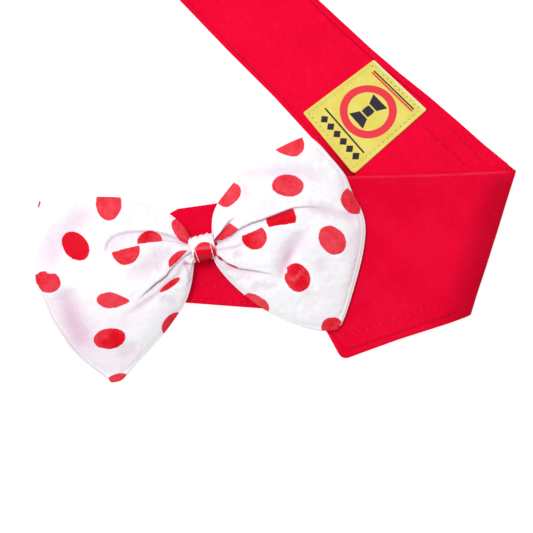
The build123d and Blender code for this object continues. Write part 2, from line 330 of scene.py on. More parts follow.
# -------------------------------------------------------------------- meshes
def make(name, verts, faces, attrs=None, smooth_faces=True):
    """Mesh object with point attributes and its normals facing outwards."""
    mesh = bpy.data.meshes.new(name)
    mesh.from_pydata(np.asarray(verts, float).tolist(), [],
                     [tuple(int(i) for i in face) for face in faces])
    mesh.validate()
    mesh.update()
    if smooth_faces:
        mesh.polygons.foreach_set("use_smooth", [True] * len(mesh.polygons))
    for key, values in (attrs or {}).items():
        values = np.asarray(values, np.float32)
        if values.ndim == 1:
            layer = mesh.attributes.new(key, "FLOAT", "POINT")
            layer.data.foreach_set("value", values)
        else:
            layer = mesh.attributes.new(key, "FLOAT_VECTOR", "POINT")
            layer.data.foreach_set("vector", values.ravel())
    piece = bpy.data.objects.new(name, mesh)
    bpy.context.scene.collection.objects.link(piece)
    work = bmesh.new()
    work.from_mesh(mesh)
    bmesh.ops.recalc_face_normals(work, faces=work.faces)
    work.to_mesh(mesh)
    work.free()
    mesh.update()
    return piece


def make_dressed(name, verts, faces, finish, attrs=None, smooth_faces=True):
    """As make, with a finish: a material and the name of its slot; the name is not used."""
    piece = make(name, verts, faces, attrs, smooth_faces)
    material, slot_name = finish
    piece.data.materials.append(material)
    return piece


def attach(piece, body, *cad_pieces):
    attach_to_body(piece, body)
    if cad_pieces:
        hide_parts(*cad_pieces)


def border_index(rows, columns):
    """Grid indices round the border, once."""
    index = [i * columns for i in range(rows)]
    index += [(rows - 1) * columns + j for j in range(1, columns)]
    index += [i * columns + columns - 1 for i in range(rows - 2, -1, -1)]
    return np.array(index + list(range(columns - 2, 0, -1)))


def grid_faces(rows, columns, offset=0, flip=False):
    i, j = np.meshgrid(np.arange(rows - 1), np.arange(columns - 1), indexing="ij")
    a = (i * columns + j).ravel() + offset
    faces = np.stack([a, a + columns, a + columns + 1, a + 1], 1)
    return faces[:, ::-1] if flip else faces


def tube_faces(base, rings, around):
    """Faces of a capped tube whose ring points follow each other."""
    faces = []
    for i in range(rings - 1):
        for j in range(around):
            a = base + i * around + j
            b = base + i * around + (j + 1) % around
            faces.append((a, b, b + around, a + around))
    last = base + (rings - 1) * around
    return faces + [tuple(range(base, base + around))[::-1],
                    tuple(range(last, last + around))]


def add_tube(verts, faces, rings):
    faces += tube_faces(len(verts), len(rings), len(rings[0]))
    for ring in rings:
        verts += ring


def round_rim(radius, steps=5):
    """Half-round edge for sheet_solid."""
    angles = [math.pi * i / (steps + 1) for i in range(1, steps + 1)]
    return [(radius * math.sin(a), 0.5 - 0.5 * math.cos(a), 0.0) for a in angles]


def weave(plan, z=0.0):
    """Weave coordinates of a plan grid. z keeps one cloth from another."""
    return np.concatenate([plan, np.full(plan.shape[:2] + (1,), z)], -1)


def sheet_solid(name, plan, top_z, bottom_z, rim, attrs, finish, bottom_plan=None):
    """Closed cloth body from a plan grid with top and bottom heights.

    rim: (outward, share of the way from top to bottom, painted shade added to cav).
    attrs: name -> (top values, bottom values or one bottom value).
    """
    top = plan.reshape(-1, 2)
    bottom = top if bottom_plan is None else bottom_plan.reshape(-1, 2)
    count = len(top)
    border = border_index(*plan.shape[:2])
    verts = [np.concatenate([top, top_z.reshape(-1, 1)], 1),
             np.concatenate([bottom, bottom_z.reshape(-1, 1)], 1)]
    faces = [grid_faces(*plan.shape[:2]), grid_faces(*plan.shape[:2], count, True)]
    ring = bottom[border]
    outward = -left_of(unit(np.roll(ring, -1, 0) - np.roll(ring, 1, 0))) * turn_sign(ring)
    rings = [border]
    high, low = top_z.reshape(-1)[border], bottom_z.reshape(-1)[border]
    for k, (out, share, _) in enumerate(rim):
        base = top[border] + (ring - top[border]) * smooth(share * 2.0 - 0.5)
        z = high + (low - high) * share
        verts.append(np.concatenate([base + outward * out, z[:, None]], 1))
        rings.append(np.arange(len(border)) + 2 * count + k * len(border))
    rings.append(border + count)
    for a, b in zip(rings[:-1], rings[1:]):
        faces.append(np.stack([a, b, np.roll(b, -1), np.roll(a, -1)], 1))
    values = {}
    for key, (above, below) in attrs.items():
        below = np.broadcast_to(below, above.shape).reshape(count, -1)
        above = above.reshape(count, -1)
        parts = [above, below]
        # a rim entry's third value adds painted shade
        for _, share, dark in rim:
            parts.append(above[border] * (1 - share) + below[border] * share
                         + (dark if key == "dark_shade" else 0.0))
        joined = np.concatenate(parts)
        values[key] = joined[:, 0] if joined.shape[1] == 1 else joined
    return make_dressed(name, np.concatenate(verts), np.concatenate(faces), finish, values)


# ------------------------------------------------------------------ stitching
def walk(line, start=ROW_START, pitch=STITCH_PITCH, end=ROW_END):
    """Stitches along a line, as (middle, direction)."""
    line = np.asarray(line, float)
    length = arc_length(line)
    stitches = []
    here = start
    while here < length[-1] - end:
        i = min(int(np.searchsorted(length, here, "right")) - 1, len(line) - 2)
        direction = (line[i + 1] - line[i]) / (length[i + 1] - length[i])
        stitches.append((line[i] + direction * (here - length[i]), direction))
        here += pitch
    return stitches


def pits(plan, stitches, radius=0.00042):
    """1 at the needle holes of a row of stitches, 0 away from them."""
    depth = np.zeros(plan.shape[:2])
    for middle, direction in stitches:
        for end in (-1, 1):
            hole = middle + direction * end * STITCH * 0.56
            squared = ((plan - hole) ** 2).sum(-1)
            depth = np.maximum(depth, np.exp(-squared / radius ** 2))
    return depth


def furrows(plan, rows, depth, dark):
    """Depth and painted shade along rows given as (line, strength)."""
    sunk = darker = 0.0
    for line, strength in rows:
        distance = line_distance(plan, line)
        sunk = sunk + strength * depth * bell(distance, 0.6)
        darker = darker + strength * dark * bell(distance, 0.5)
    return sunk, darker


def stitch_mesh(name, stitches, finish, cloth_z, length=STITCH, radius=0.00019):
    """Each stitch is a short thread that dives into the cloth at both ends.
    cloth_z is a height, or a function of the plan point."""
    sink = 0.00010
    rings, around = 9, 8
    verts, faces = [], []
    for number, (middle, direction) in enumerate(stitches):
        angle = (hash01(number, 7) - 0.5) * 0.10
        direction = direction * math.cos(angle) + left_of(direction) * math.sin(angle)
        across = left_of(direction)
        base_z = cloth_z(middle) if callable(cloth_z) else cloth_z
        this_length = length * (0.93 + 0.14 * hash01(number, 3))
        tube = []
        for i in range(rings):
            t = i / (rings - 1) * 2 - 1
            lift = (1 - t ** 4) * (radius * 1.35 + sink) - sink
            r = radius * (0.80 + 0.25 * (1 - t * t))
            centre = middle + direction * t * this_length / 2
            ring = []
            for j in range(around):
                a = 2 * math.pi * j / around
                point = centre + across * math.cos(a) * r * 1.15
                ring.append((*point, base_z + lift + math.sin(a) * r * 0.85))
            tube.append(ring)
        add_tube(verts, faces, tube)
    return make_dressed(name, verts, faces, finish)


# ================================================================= MATERIALS
def fill(tree, node, inputs):
    """Sets or links a node's inputs. A colour may leave out its alpha."""
    for key, value in inputs.items():
        if isinstance(value, bpy.types.NodeSocket):
            tree.links.new(value, node.inputs[key])
        elif isinstance(value, tuple) and len(value) == 3:
            node.inputs[key].default_value = value + (1.0,)
        else:
            node.inputs[key].default_value = value


class Shader:
    """Node tree round the Principled BSDF of one material."""

    def __init__(self, name, coords=None):
        self.material = bpy.data.materials.new(name)
        self.material.use_nodes = True
        self.tree = self.material.node_tree
        self.bsdf = self.tree.nodes["Principled BSDF"]
        if coords == "weave":
            self.coords = self.attribute("wc", "Vector")
        elif coords == "object":
            self.coords = self.node("ShaderNodeTexCoord", {}).outputs["Object"]

    def node(self, kind, inputs, **settings):
        node = self.tree.nodes.new(kind)
        for key, value in settings.items():
            setattr(node, key, value)
        fill(self.tree, node, inputs)
        return node

    def surface(self, color, **inputs):
        """Surface inputs, with underscores for the spaces in their names."""
        named = {key.replace("_", " "): value for key, value in inputs.items()}
        fill(self.tree, self.bsdf, {"Base Color": color, **named})

    def attribute(self, name, output="Fac"):
        node = self.node("ShaderNodeAttribute", {}, attribute_name=name)
        return node.outputs[output]

    def math(self, operation, a, b=None, clamp=False):
        inputs = {0: a} if b is None else {0: a, 1: b}
        return self.node("ShaderNodeMath", inputs, operation=operation,
                         use_clamp=clamp).outputs[0]

    def plus(self, a, b, clamp=False):
        return self.math("ADD", a, b, clamp)

    def minus(self, a, b, clamp=False):
        return self.math("SUBTRACT", a, b, clamp)

    def times(self, a, b, clamp=False):
        return self.math("MULTIPLY", a, b, clamp)

    def mix(self, share, first, second):
        return self.node("ShaderNodeMix", {0: share, 6: first, 7: second},
                         data_type="RGBA").outputs[2]

    def ramp(self, source, span, to=(0.0, 1.0)):
        """Smooth step of the source over a span, onto the values of to."""
        inputs = {0: source, 1: span[0], 2: span[1], 3: to[0], 4: to[1]}
        return self.node("ShaderNodeMapRange", inputs,
                         interpolation_type="SMOOTHSTEP").outputs[0]

    def noise(self, scale, detail=2.0, rough=0.5):
        inputs = {"Scale": scale, "Detail": detail, "Roughness": rough,
                  "Vector": self.coords}
        return self.node("ShaderNodeTexNoise", inputs).outputs["Fac"]

    def wave(self, pitch, angle, wander):
        """Ridges 0..1 across the given angle in degrees, bent by noise."""
        axes = self.node("ShaderNodeSeparateXYZ", {0: self.coords}).outputs
        c, s = math.cos(math.radians(angle)), math.sin(math.radians(angle))
        x = self.times(axes[0], c / pitch * 2 * math.pi)
        y = self.times(axes[1], s / pitch * 2 * math.pi)
        phase = self.plus(x, y)
        bend = self.noise(scale=160.0, detail=1.0)
        phase = self.plus(phase, self.times(bend, wander))
        return self.plus(self.times(self.math("SINE", phase), 0.5), 0.5)

    def bump(self, height, distance, strength, under=None):
        inputs = {"Strength": strength, "Distance": distance, "Height": height}
        if under is not None:
            inputs["Normal"] = under
        normal = self.node("ShaderNodeBump", inputs).outputs[0]
        fill(self.tree, self.bsdf, {"Normal": normal})
        return normal


def twill_material(name, red, deep, light, grain, rib_hollow_shade, glint):
    """Twill with its ribs across the grain angle. relief is painted shade in
    the hollows of the ribs, and glint a painted highlight on their crests."""
    s = Shader(name, "weave")
    shade = s.attribute("shade")
    patches = s.noise(scale=48.0, detail=3.0, rough=0.55)
    mottle = s.noise(scale=380.0, rough=0.6)
    highlight_specks = s.noise(scale=640.0, detail=0.0)
    fuzz = s.noise(scale=1700.0, rough=0.6)
    ribs = s.wave(pitch=0.00092, angle=grain, wander=1.0)
    yarn = s.wave(pitch=0.00050, angle=grain - 62.0, wander=1.4)
    color = s.mix(s.ramp(patches, span=(0.30, 0.55), to=(0.16, 0.0)), red, deep)
    color = s.mix(s.ramp(mottle, span=(0.52, 0.80), to=(0.0, 0.22)), color, light)
    # painted shade in the hollows of the ribs
    color = s.mix(s.times(s.minus(1.0, ribs), rib_hollow_shade), color, deep)
    # painted highlight on the rib crests, stronger in some patches
    crests = s.times(s.ramp(ribs, span=(0.55, 1.0), to=(0.0, glint)),
                     s.ramp(patches, span=(0.42, 0.60), to=(0.22, 1.0)))
    crest_highlight_red = (0.98, 0.022, 0.092)
    color = s.mix(crests, color, crest_highlight_red)
    color = s.mix(s.times(s.minus(1.0, yarn), 0.10), color, deep)
    color = s.mix(s.ramp(fuzz, span=(0.55, 0.78), to=(0.0, 0.28)), color, light)
    # sparse painted highlight specks
    speck_highlight_pink = (0.90, 0.10, 0.17)
    color = s.mix(s.ramp(highlight_specks, span=(0.855, 0.90), to=(0.0, 0.32)), color, speck_highlight_pink)
    # shade: 1 plain, lower for painted shade (towards the fold, beside the bow, round the
    # label, in grooves, furrows and needle holes) and for random darker tone
    dark_tone_and_shade_red = (0.16, 0.0, 0.002)
    color = s.mix(s.minus(1.0, shade, clamp=True), color, dark_tone_and_shade_red)
    # lite: painted highlight along the leaf's upper edge
    lit_red = (0.95, 0.085, 0.150)
    color = s.mix(s.times(s.attribute("lite"), 1.0, clamp=True), color, lit_red)
    s.surface(color, Roughness=0.90, Specular_IOR_Level=0.03, Sheen_Weight=0.035,
              Sheen_Roughness=0.5, Sheen_Tint=(1.0, 0.15, 0.25))
    height = s.plus(s.times(ribs, 0.8), s.times(yarn, 0.35))
    height = s.plus(height, s.times(fuzz, 0.5))
    s.bump(height, distance=0.00012, strength=0.9)
    return s.material


def dots_material():
    """White cotton with red dots. dot: mm inside a dot; cav: painted shade,
    dark in the creases, in the hem's groove and on the knot's lower side;
    tint: painted pink shade in the folds; lift: painted sheen on the red,
    lower for painted shade."""
    s = Shader("dotted_cotton", "weave")
    dot = s.attribute("dot")
    dark_shade_share = s.attribute("dark_shade")
    pink_shade = s.attribute("pink_shade")
    warp = s.wave(pitch=0.00034, angle=8.0, wander=1.2)
    weft = s.wave(pitch=0.00038, angle=98.0, wander=1.2)
    cloth = s.times(warp, weft)
    patches = s.noise(scale=90.0, detail=3.0, rough=0.55)
    fuzz = s.noise(scale=1500.0, rough=0.6)
    ragged = s.times(s.minus(fuzz, 0.5), 0.55)
    inside = s.ramp(s.plus(dot, ragged), span=(-0.16, 0.16))
    lift = s.attribute("lift")
    mottle = s.noise(scale=330.0, rough=0.6)

    cool_white, warm_white = (0.895, 0.878, 0.915), (0.950, 0.945, 0.955)
    white = s.mix(s.ramp(patches, span=(0.35, 0.65)), cool_white, warm_white)
    yarn_white, mottle_white = (0.84, 0.81, 0.87), (0.84, 0.775, 0.855)
    white = s.mix(s.times(cloth, 0.28), white, yarn_white)
    white = s.mix(s.ramp(mottle, span=(0.48, 0.78), to=(0.0, 0.42)), white, mottle_white)
    fuzz_grey, pink_shade_colour = (0.79, 0.74, 0.81), (0.69, 0.46, 0.60)
    white = s.mix(s.ramp(fuzz, span=(0.44, 0.70), to=(0.0, 0.42)), white, fuzz_grey)
    # painted pink shade in the folds of the white
    white = s.mix(s.times(pink_shade, 0.80, clamp=True), white, pink_shade_colour)

    # painted sheen on the red from lift, lower for painted shade, with random paler fuzz
    # and mottle
    pale = s.plus(lift, s.times(s.minus(fuzz, 0.5), 1.3))
    pale = s.plus(pale, s.times(s.minus(mottle, 0.5), 1.2), clamp=True)
    full_red, sheen_red = (0.715, 0.0018, 0.015), (0.815, 0.064, 0.092)
    red = s.mix(pale, full_red, sheen_red)
    # painted shade on the red in the folds
    pink_shade_red = (0.55, 0.0, 0.012)
    red = s.mix(s.times(pink_shade, 0.35, clamp=True), red, pink_shade_red)

    color = s.mix(inside, white, red)
    # painted dark shade in the creases, the hem's groove and the knot's lower side
    dark_shade_colour = (0.22, 0.035, 0.10)
    color = s.mix(s.times(dark_shade_share, 0.85, clamp=True), color, dark_shade_colour)
    s.surface(color, Roughness=0.55, Specular_IOR_Level=0.07, Sheen_Weight=0.03,
              Sheen_Roughness=0.35)
    height = s.plus(s.times(cloth, 0.8), s.times(fuzz, 0.45))
    yarns = s.bump(height, distance=0.00006, strength=0.60)
    crumple = s.noise(scale=260.0, detail=3.0, rough=0.55)
    s.bump(crumple, distance=0.0009, strength=0.22, under=yarns)
    return s.material


def label_material():
    """Yellow cloth. red, ink, pale and hole are mm inside each figure."""
    s = Shader("label_cloth", "weave")
    red, ink, pale, hole = [s.attribute(key) for key in ("red", "ink", "pale", "hole")]
    rows = s.wave(pitch=0.00030, angle=90.0, wander=0.6)
    columns = s.wave(pitch=0.00034, angle=0.0, wander=0.6)
    fuzz = s.noise(scale=1300.0, rough=0.6)
    patches = s.noise(scale=130.0)
    ragged = s.times(s.minus(fuzz, 0.5), 0.22)
    deep_yellow, light_yellow = (0.755, 0.645, 0.110), (0.810, 0.715, 0.165)
    color = s.mix(s.ramp(patches, span=(0.3, 0.7)), deep_yellow, light_yellow)
    row_yellow = (0.68, 0.55, 0.08)
    color = s.mix(s.times(rows, 0.20), color, row_yellow)
    red_thread = s.mix(s.times(fuzz, 0.6), (0.78, 0.030, 0.055), (0.86, 0.075, 0.10))
    ink_thread = s.mix(s.times(fuzz, 0.6), (0.020, 0.016, 0.028), (0.075, 0.060, 0.085))
    pale_thread = (0.86, 0.80, 0.50)
    for field, thread in ((pale, pale_thread), (red, red_thread), (ink, ink_thread)):
        color = s.mix(s.ramp(s.plus(field, ragged), span=(-0.08, 0.08)), color, thread)
    # painted shade in the needle holes
    hole_shade_brown = (0.22, 0.17, 0.12)
    color = s.mix(s.ramp(hole, span=(-0.08, 0.10)), color, hole_shade_brown)
    s.surface(color, Roughness=0.62, Specular_IOR_Level=0.08, Sheen_Weight=0.03)
    height = s.plus(s.times(rows, 0.6), s.times(columns, 0.35))
    height = s.plus(height, s.times(fuzz, 0.4))
    s.bump(height, distance=0.00007, strength=0.6)
    return s.material


def thread_material(name, dark, light, rough=0.6, sheen=0.03, specular=0.06):
    s = Shader(name, "object")
    ply = s.wave(pitch=0.00030, angle=40.0, wander=1.0)
    fuzz = s.noise(scale=900.0, rough=0.6)
    color = s.mix(s.times(fuzz, 1.0, clamp=True), dark, light)
    color = s.mix(s.times(ply, 0.12), color, tuple(c * 0.6 for c in dark))
    s.surface(color, Roughness=rough, Specular_IOR_Level=specular, Sheen_Weight=sheen)
    s.bump(ply, distance=0.00005, strength=0.6)
    return s.material


def tape_material(name, dark, light):
    s = Shader(name, "object")
    grid = [s.wave(pitch=0.00060, angle=angle, wander=0.8) for angle in (45.0, 135.0)]
    fuzz = s.noise(scale=700.0, detail=3.0, rough=0.65)
    grid = s.times(*grid)
    color = s.mix(fuzz, dark, light)
    color = s.mix(s.times(grid, 0.3), color, tuple(c * 0.55 for c in dark))
    s.surface(color, Roughness=0.55, Specular_IOR_Level=0.12, Sheen_Weight=0.05)
    s.bump(s.plus(grid, fuzz), distance=0.00012, strength=0.7)
    return s.material


# Each finish is a material and the name of a slot.
TWILL = twill_material("red_twill_outer", red=(0.838, 0.0010, 0.031),
                       deep=(0.55, 0.0003, 0.013), light=(0.93, 0.012, 0.066),
                       grain=140.0, rib_hollow_shade=0.30, glint=0.27), "red_twill"
TWILL_IN = twill_material("red_twill_inner", red=(0.875, 0.0018, 0.036),
                          deep=(0.60, 0.0005, 0.016), light=(0.95, 0.020, 0.075),
                          grain=148.0, rib_hollow_shade=0.20, glint=0.05), "red_twill"
DOTS = dots_material(), "dotted_cotton"
LABEL = label_material(), "label_cloth"
RED_THREAD = thread_material("red_thread", (0.58, 0.0006, 0.016),
                             (0.74, 0.003, 0.032)), "red_thread"
BRIGHT_THREAD = thread_material("bright_red_thread", (0.80, 0.004, 0.036),
                                (0.90, 0.022, 0.064), rough=0.8, sheen=0.0,
                                specular=0.02), "red_thread"
WHITE_THREAD = thread_material("white_thread", (0.84, 0.83, 0.86), (0.95, 0.95, 0.96),
                               rough=0.45, sheen=0.08, specular=0.2), "white_thread"
LABEL_THREAD = thread_material("label_thread", (0.76, 0.70, 0.36), (0.86, 0.82, 0.58),
                               rough=0.5), "label_thread"
HOOK_TAPE = tape_material("hook_tape", (0.52, 0.0, 0.018), (0.72, 0.02, 0.05)), "hook_tape"
LOOP_TAPE = tape_material("loop_tape", (0.58, 0.002, 0.02), (0.80, 0.03, 0.06)), "loop_tape"

# ====================================================================== BAND
# the fold's ends, and its axes: along it from the top, and out from it
FOLD_TOP = metres([61.0, -22.8])
FOLD_FOOT = metres([42.6, -81.0])
FOLD_ALONG = unit(FOLD_FOOT - FOLD_TOP)
FOLD_OUT = left_of(FOLD_ALONG)
FOLD_AXIS = np.array(JOINTS["collar_fold"]["pos_m"])[:2]

BEND_MID = np.array(JOINTS["tail_bend"]["pos_m"])[:2]
BEND_ALONG = np.array(JOINTS["tail_bend"]["axis"])[:2]
TAIL_OUT = left_of(BEND_ALONG)


def fold_coords(point):
    """Distance outwards from the fold axis, and along it from its middle."""
    offset = np.asarray(point) - FOLD_AXIS
    return offset @ FOLD_OUT, offset @ FOLD_ALONG


def edge_at(corner, other, out):
    """Point on the line corner-other at a distance out from the fold axis."""
    a, b = fold_coords(corner)[0], fold_coords(other)[0]
    return corner + (other - corner) * (a - out) / (a - b)


# long edges of the lower layer, from the tail to the fold, mm
BAND_LEFT = metres([(-73.9, 45.3), (-55.5, 26.1), (-36.3, 6.9), (-18.7, -12.3),
                    (-7.9, -24.3)])
BAND_RIGHT = metres([(-17.9, 45.3), (2.9, 26.1), (14.1, 16.5), (26.1, 6.9),
                     (37.3, -2.7), (48.1, -12.3)])
LEAF_TOP_END, LEAF_FOOT_END = metres([(26.1, -24.3), (33.3, -84.3)])
FLAT_END = -0.0005                # where the flat layers stop short of the axis
BAND_FOLD = [edge_at(FOLD_FOOT, BAND_LEFT[-1], FLAT_END),
             edge_at(FOLD_TOP, BAND_RIGHT[-1], FLAT_END)]
LEAF_FOLD = [edge_at(FOLD_TOP, LEAF_TOP_END, FLAT_END),
             edge_at(FOLD_FOOT, LEAF_FOOT_END, FLAT_END)]

TAIL_LEFT, TAIL_RIGHT = metres([-79.2, 50.9]), metres([-50.7, 79.0])
TAIL_ROOT = (TAIL_LEFT + TAIL_RIGHT) / 2
TAIL_LENGTH, TIP_HALF_WIDTH, TIP_RADIUS = 0.056, 0.017, 0.011
TIP_LEFT = TAIL_ROOT + TAIL_OUT * TAIL_LENGTH - BEND_ALONG * TIP_HALF_WIDTH
TIP_RIGHT = TAIL_ROOT + TAIL_OUT * TAIL_LENGTH + BEND_ALONG * TIP_HALF_WIDTH

# corners of the label, mm
LABEL_TOP, LABEL_LEFT, LABEL_FOOT, LABEL_RIGHT = metres(
    [(3.8, 21.5), (-24.5, 0.3), (-4.25, -24.2), (24.9, 1.6)])

# two short rows near the fold, mm from the label's middle
SHORT_ROWS = [from_label([(23.76, -3.72), (28.52, -8.80), (33.60, -13.20),
                          (38.68, -18.04), (41.08, -20.68)]),
              from_label([(34.72, -4.92), (39.92, -10.72), (47.92, -18.52)])]
# the row just inside the band's left edge, mm
LEFT_ROW = metres(np.array([(-73.2, 45.0), (-55.5, 26.1), (-36.3, 6.9),
                            (-18.7, -12.3)]) + 1.15)


def tip_arcs(steps):
    """The tip's rounded corners, each from the tip towards the band."""
    return (corner_arc(TIP_RIGHT, TIP_LEFT, TAIL_LEFT, TIP_RADIUS, steps),
            corner_arc(TIP_LEFT, TIP_RIGHT, TAIL_RIGHT, TIP_RADIUS, steps))


def build_back_band():
    """The lower layer with its tail, one cloth from the tip to the fold."""
    arc_left, arc_right = tip_arcs(7)
    left_side = np.vstack([arc_left[3:], TAIL_LEFT, BAND_LEFT, BAND_FOLD[0]])
    right_side = np.vstack([arc_right[3:], TAIL_RIGHT, BAND_RIGHT, BAND_FOLD[1]])
    tip_side = np.vstack([arc_left[3::-1], arc_right[:4]])
    plan = patch_grid((left_side, BAND_FOLD, right_side, tip_side), BACK_RIM, 430, 100)
    x, y = plan[..., 0], plan[..., 1]
    wave = 0.00012 * noise(x, y, 0.022, 3) + 0.00006 * noise(x, y, 0.009, 5)
    top_z = np.minimum(BACK_TOP + wave * 0.6, BACK_TOP + 0.00008)
    # a groove and a ridge just inside the left edge
    from_left = line_distance(plan, left_side)
    from_right = line_distance(plan, right_side)
    top_z = top_z - 0.00016 * bell(from_left, 0.45, 2.3)
    top_z = top_z + 0.00008 * bell(from_left, 0.5, 1.2)
    # painted shade in the groove and along the left edge, a painted shade line inside the
    # right edge, and random darker tone
    shade = 1.0 - 0.07 * bell(from_left, 0.5, 2.3) - 0.10 * smooth(1 - from_left / 0.9)
    shade = shade - 0.05 * bell(from_right, 0.5, 3.0) * smooth((from_right - 1.0) / 0.6)
    shade = shade - 0.05 * smooth(noise(x, y, 0.016, 71) * 1.2 - 0.1)

    short_stitches = []
    for row in SHORT_ROWS:
        short_stitches += walk(row, start=0.0012, end=0.0008)
    edge_stitches = walk(LEFT_ROW)
    top_z = top_z - furrows(plan, [(row, 1) for row in SHORT_ROWS], 0.00008, 0)[0]
    hole = pits(plan, short_stitches) + 0.5 * pits(plan, edge_stitches)
    top_z = top_z - 0.00016 * hole
    # painted shade in the needle holes
    shade = shade - 0.17 * hole
    # painted shadow of the bow along the left edge towards the fold, and
    # painted shadow round the label's two lower edges
    drawn_x, drawn_y = np.moveaxis((plan - LABEL_MID) / MM, -1, 0)
    shade = shade * (1 - 0.50 * smooth((-3.72 - drawn_y) / 19.2)
                     * smooth((5.4 - from_left) / 0.8)
                     * smooth((-2.88 - drawn_x) / 2.8))
    for edge in ((LABEL_FOOT, LABEL_RIGHT), (LABEL_LEFT, LABEL_FOOT)):
        shade = shade - 0.42 * bell(line_distance(plan, edge), 0.34, 0.10)
    band = sheet_solid("back_band_cloth", plan, top_z,
                       np.full_like(top_z, BACK_LOW + 0.00002), round_rim(BACK_RIM),
                       {"wc": (weave(plan), weave(plan, 0.01)), "shade": (shade, 1.0)},
                       TWILL_IN)
    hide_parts("back_outer_layer", "back_interfacing", "back_inner_layer",
                "tail_outer_layer", "tail_interfacing", "tail_inner_layer")
    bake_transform(band)
    thread = stitch_mesh("back_topstitch_thread", short_stitches + edge_stitches,
                         RED_THREAD, BACK_TOP - 0.00016)
    attach(thread, "collar_back", "back_topstitch")


def build_rolled_edge():
    """Half-round strip on the band's right edge, tapered at its ends."""
    width, height = 0.0027, 0.00075
    base_z = BACK_TOP - 0.0001
    steps, across = 220, 13
    path = resample(np.vstack([TAIL_RIGHT - TAIL_OUT * 0.0048, BAND_RIGHT[:4],
                               BAND_RIGHT[3] * 0.45 + BAND_RIGHT[4] * 0.55]), steps, True)
    inward = -left_of(unit(np.gradient(path, axis=0)))
    length = arc_length(path)
    taper = smooth(length / 0.006) * smooth((length[-1] - length) / 0.016)
    verts, coords, shade = [], [], []
    for i in range(steps):
        full = 0.12 + 0.88 * float(taper[i])
        for j in range(across):
            angle = math.pi * j / (across - 1)
            x = 0.5 - 0.5 * math.cos(angle)
            z = math.sin(angle) ** 0.75 * height * full
            z += 0.00003 * noise(length[i], x, 0.004, 2) * math.sin(angle)
            point = path[i] + inward[i] * (0.0002 + width * x)
            verts.append((*point, base_z + z))
            coords.append((length[i], x * width * 1.3, 0.02))
            # painted shade along the roll's inner side, where it meets the band
            shade.append(1.0 - 0.42 * (x > 0.93) - 0.10 * (x > 0.8))
    faces = [tuple(face) for face in grid_faces(steps, across)]
    # the skirt below both long edges
    skirt = len(verts)
    for i in range(steps):
        for j in (i * across, i * across + across - 1):
            verts.append((*verts[j][:2], base_z - 0.0003))
            coords.append(coords[j])
            shade.append(shade[j])
    for i in range(steps - 1):
        near, far = i * across, i * across + across - 1
        low = skirt + i * 2
        faces += [(near, near + across, low + 2, low),
                  (far, low + 1, low + 3, far + across),
                  (low, low + 2, low + 3, low + 1)]
    last = (steps - 1) * across
    faces.append((skirt, *range(across), skirt + 1))
    faces.append((skirt + 2 * steps - 2, *range(last, last + across),
                  skirt + 2 * steps - 1))
    strip = make_dressed("rolled_top_edge", verts, faces, TWILL_IN,
                         {"wc": coords, "shade": shade})
    attach(strip, "collar_back", "back_rolled_edge")


# ------------------------------------------------------------ the front leaf
LEAF_SHOULDER, LEAF_SIDE, LEAF_POINT, LEAF_FOOT = metres(
    [(-47.5, -33.5), (-15.3, -87.3), (-9.0, -98.8), (13.3, -90.7)])
LEAF_TOP = np.vstack([LEAF_FOLD[0], LEAF_TOP_END, metres((-7.1, -25.1)), LEAF_SHOULDER])
FOOT_ALONG = unit(LEAF_FOOT_END - LEAF_POINT)
FOOT_IN = left_of(FOOT_ALONG)


def leaf_row(inset, start, end):
    """Line inside the leaf's foot edge, measured in mm from its point."""
    corner = LEAF_POINT + FOOT_IN * inset * MM
    return np.array([corner + FOOT_ALONG * start * MM, corner + FOOT_ALONG * end * MM])


OUTER_STITCHES = walk(leaf_row(3.2, 2.6, 50.0))
INNER_STITCHES = walk(leaf_row(8.6, 6.0, 46.0))
LEAF_EDGE_ROW = metres([(-45.0, -34.6), (-14.0, -86.7), (-7.6, -95.2)])
EDGE_STITCHES = walk(LEAF_EDGE_ROW)
ROLL_DROP, ROLL_WIDTH = 0.00062, 0.0125     # how the leaf sinks to the fold


def roll_off(out):
    return ROLL_DROP * np.clip((out + ROLL_WIDTH) / ROLL_WIDTH, 0, 1) ** 2.2


def fold_shade(out, along):
    """Painted shade: how much darker the cloth is made as it turns over towards the fold.
    """
    tone = smooth((out + 0.0128) / 0.0135)
    tone = tone * (1 - 0.20 * smooth((out - 0.0004) / 0.0018))
    return 0.40 * tone * smooth((along + 0.001) / 0.009)


def leaf_height(plan):
    """Height and shade of the leaf's upper face."""
    x, y = plan[..., 0], plan[..., 1]
    out, along = fold_coords(plan)
    rows = ((leaf_row(3.2, 1.0, 50.0), 0.7), (leaf_row(8.6, 4.0, 46.0), 1.0),
            (LEAF_EDGE_ROW, 0.6))
    sunk, darker = furrows(plan, rows, 0.00013, 0.05)
    z = FRONT_TOP - roll_off(out) + 0.00016 * noise(x, y, 0.026, 11) \
        + 0.00006 * noise(x, y, 0.010, 12) - 0.00012 - sunk
    # painted shade towards the fold and in the stitch furrows, and random darker tone
    shade = 1.0 - fold_shade(out, along) - 0.06 * smooth(noise(x, y, 0.018, 72)) - darker
    return np.minimum(z, FRONT_TOP + 0.0001), shade


def surface_z(height):
    """Height at one plan point, a little below the face, for stitches."""
    return lambda point: float(height(np.array([[point]]))[0][0, 0]) - 0.00006


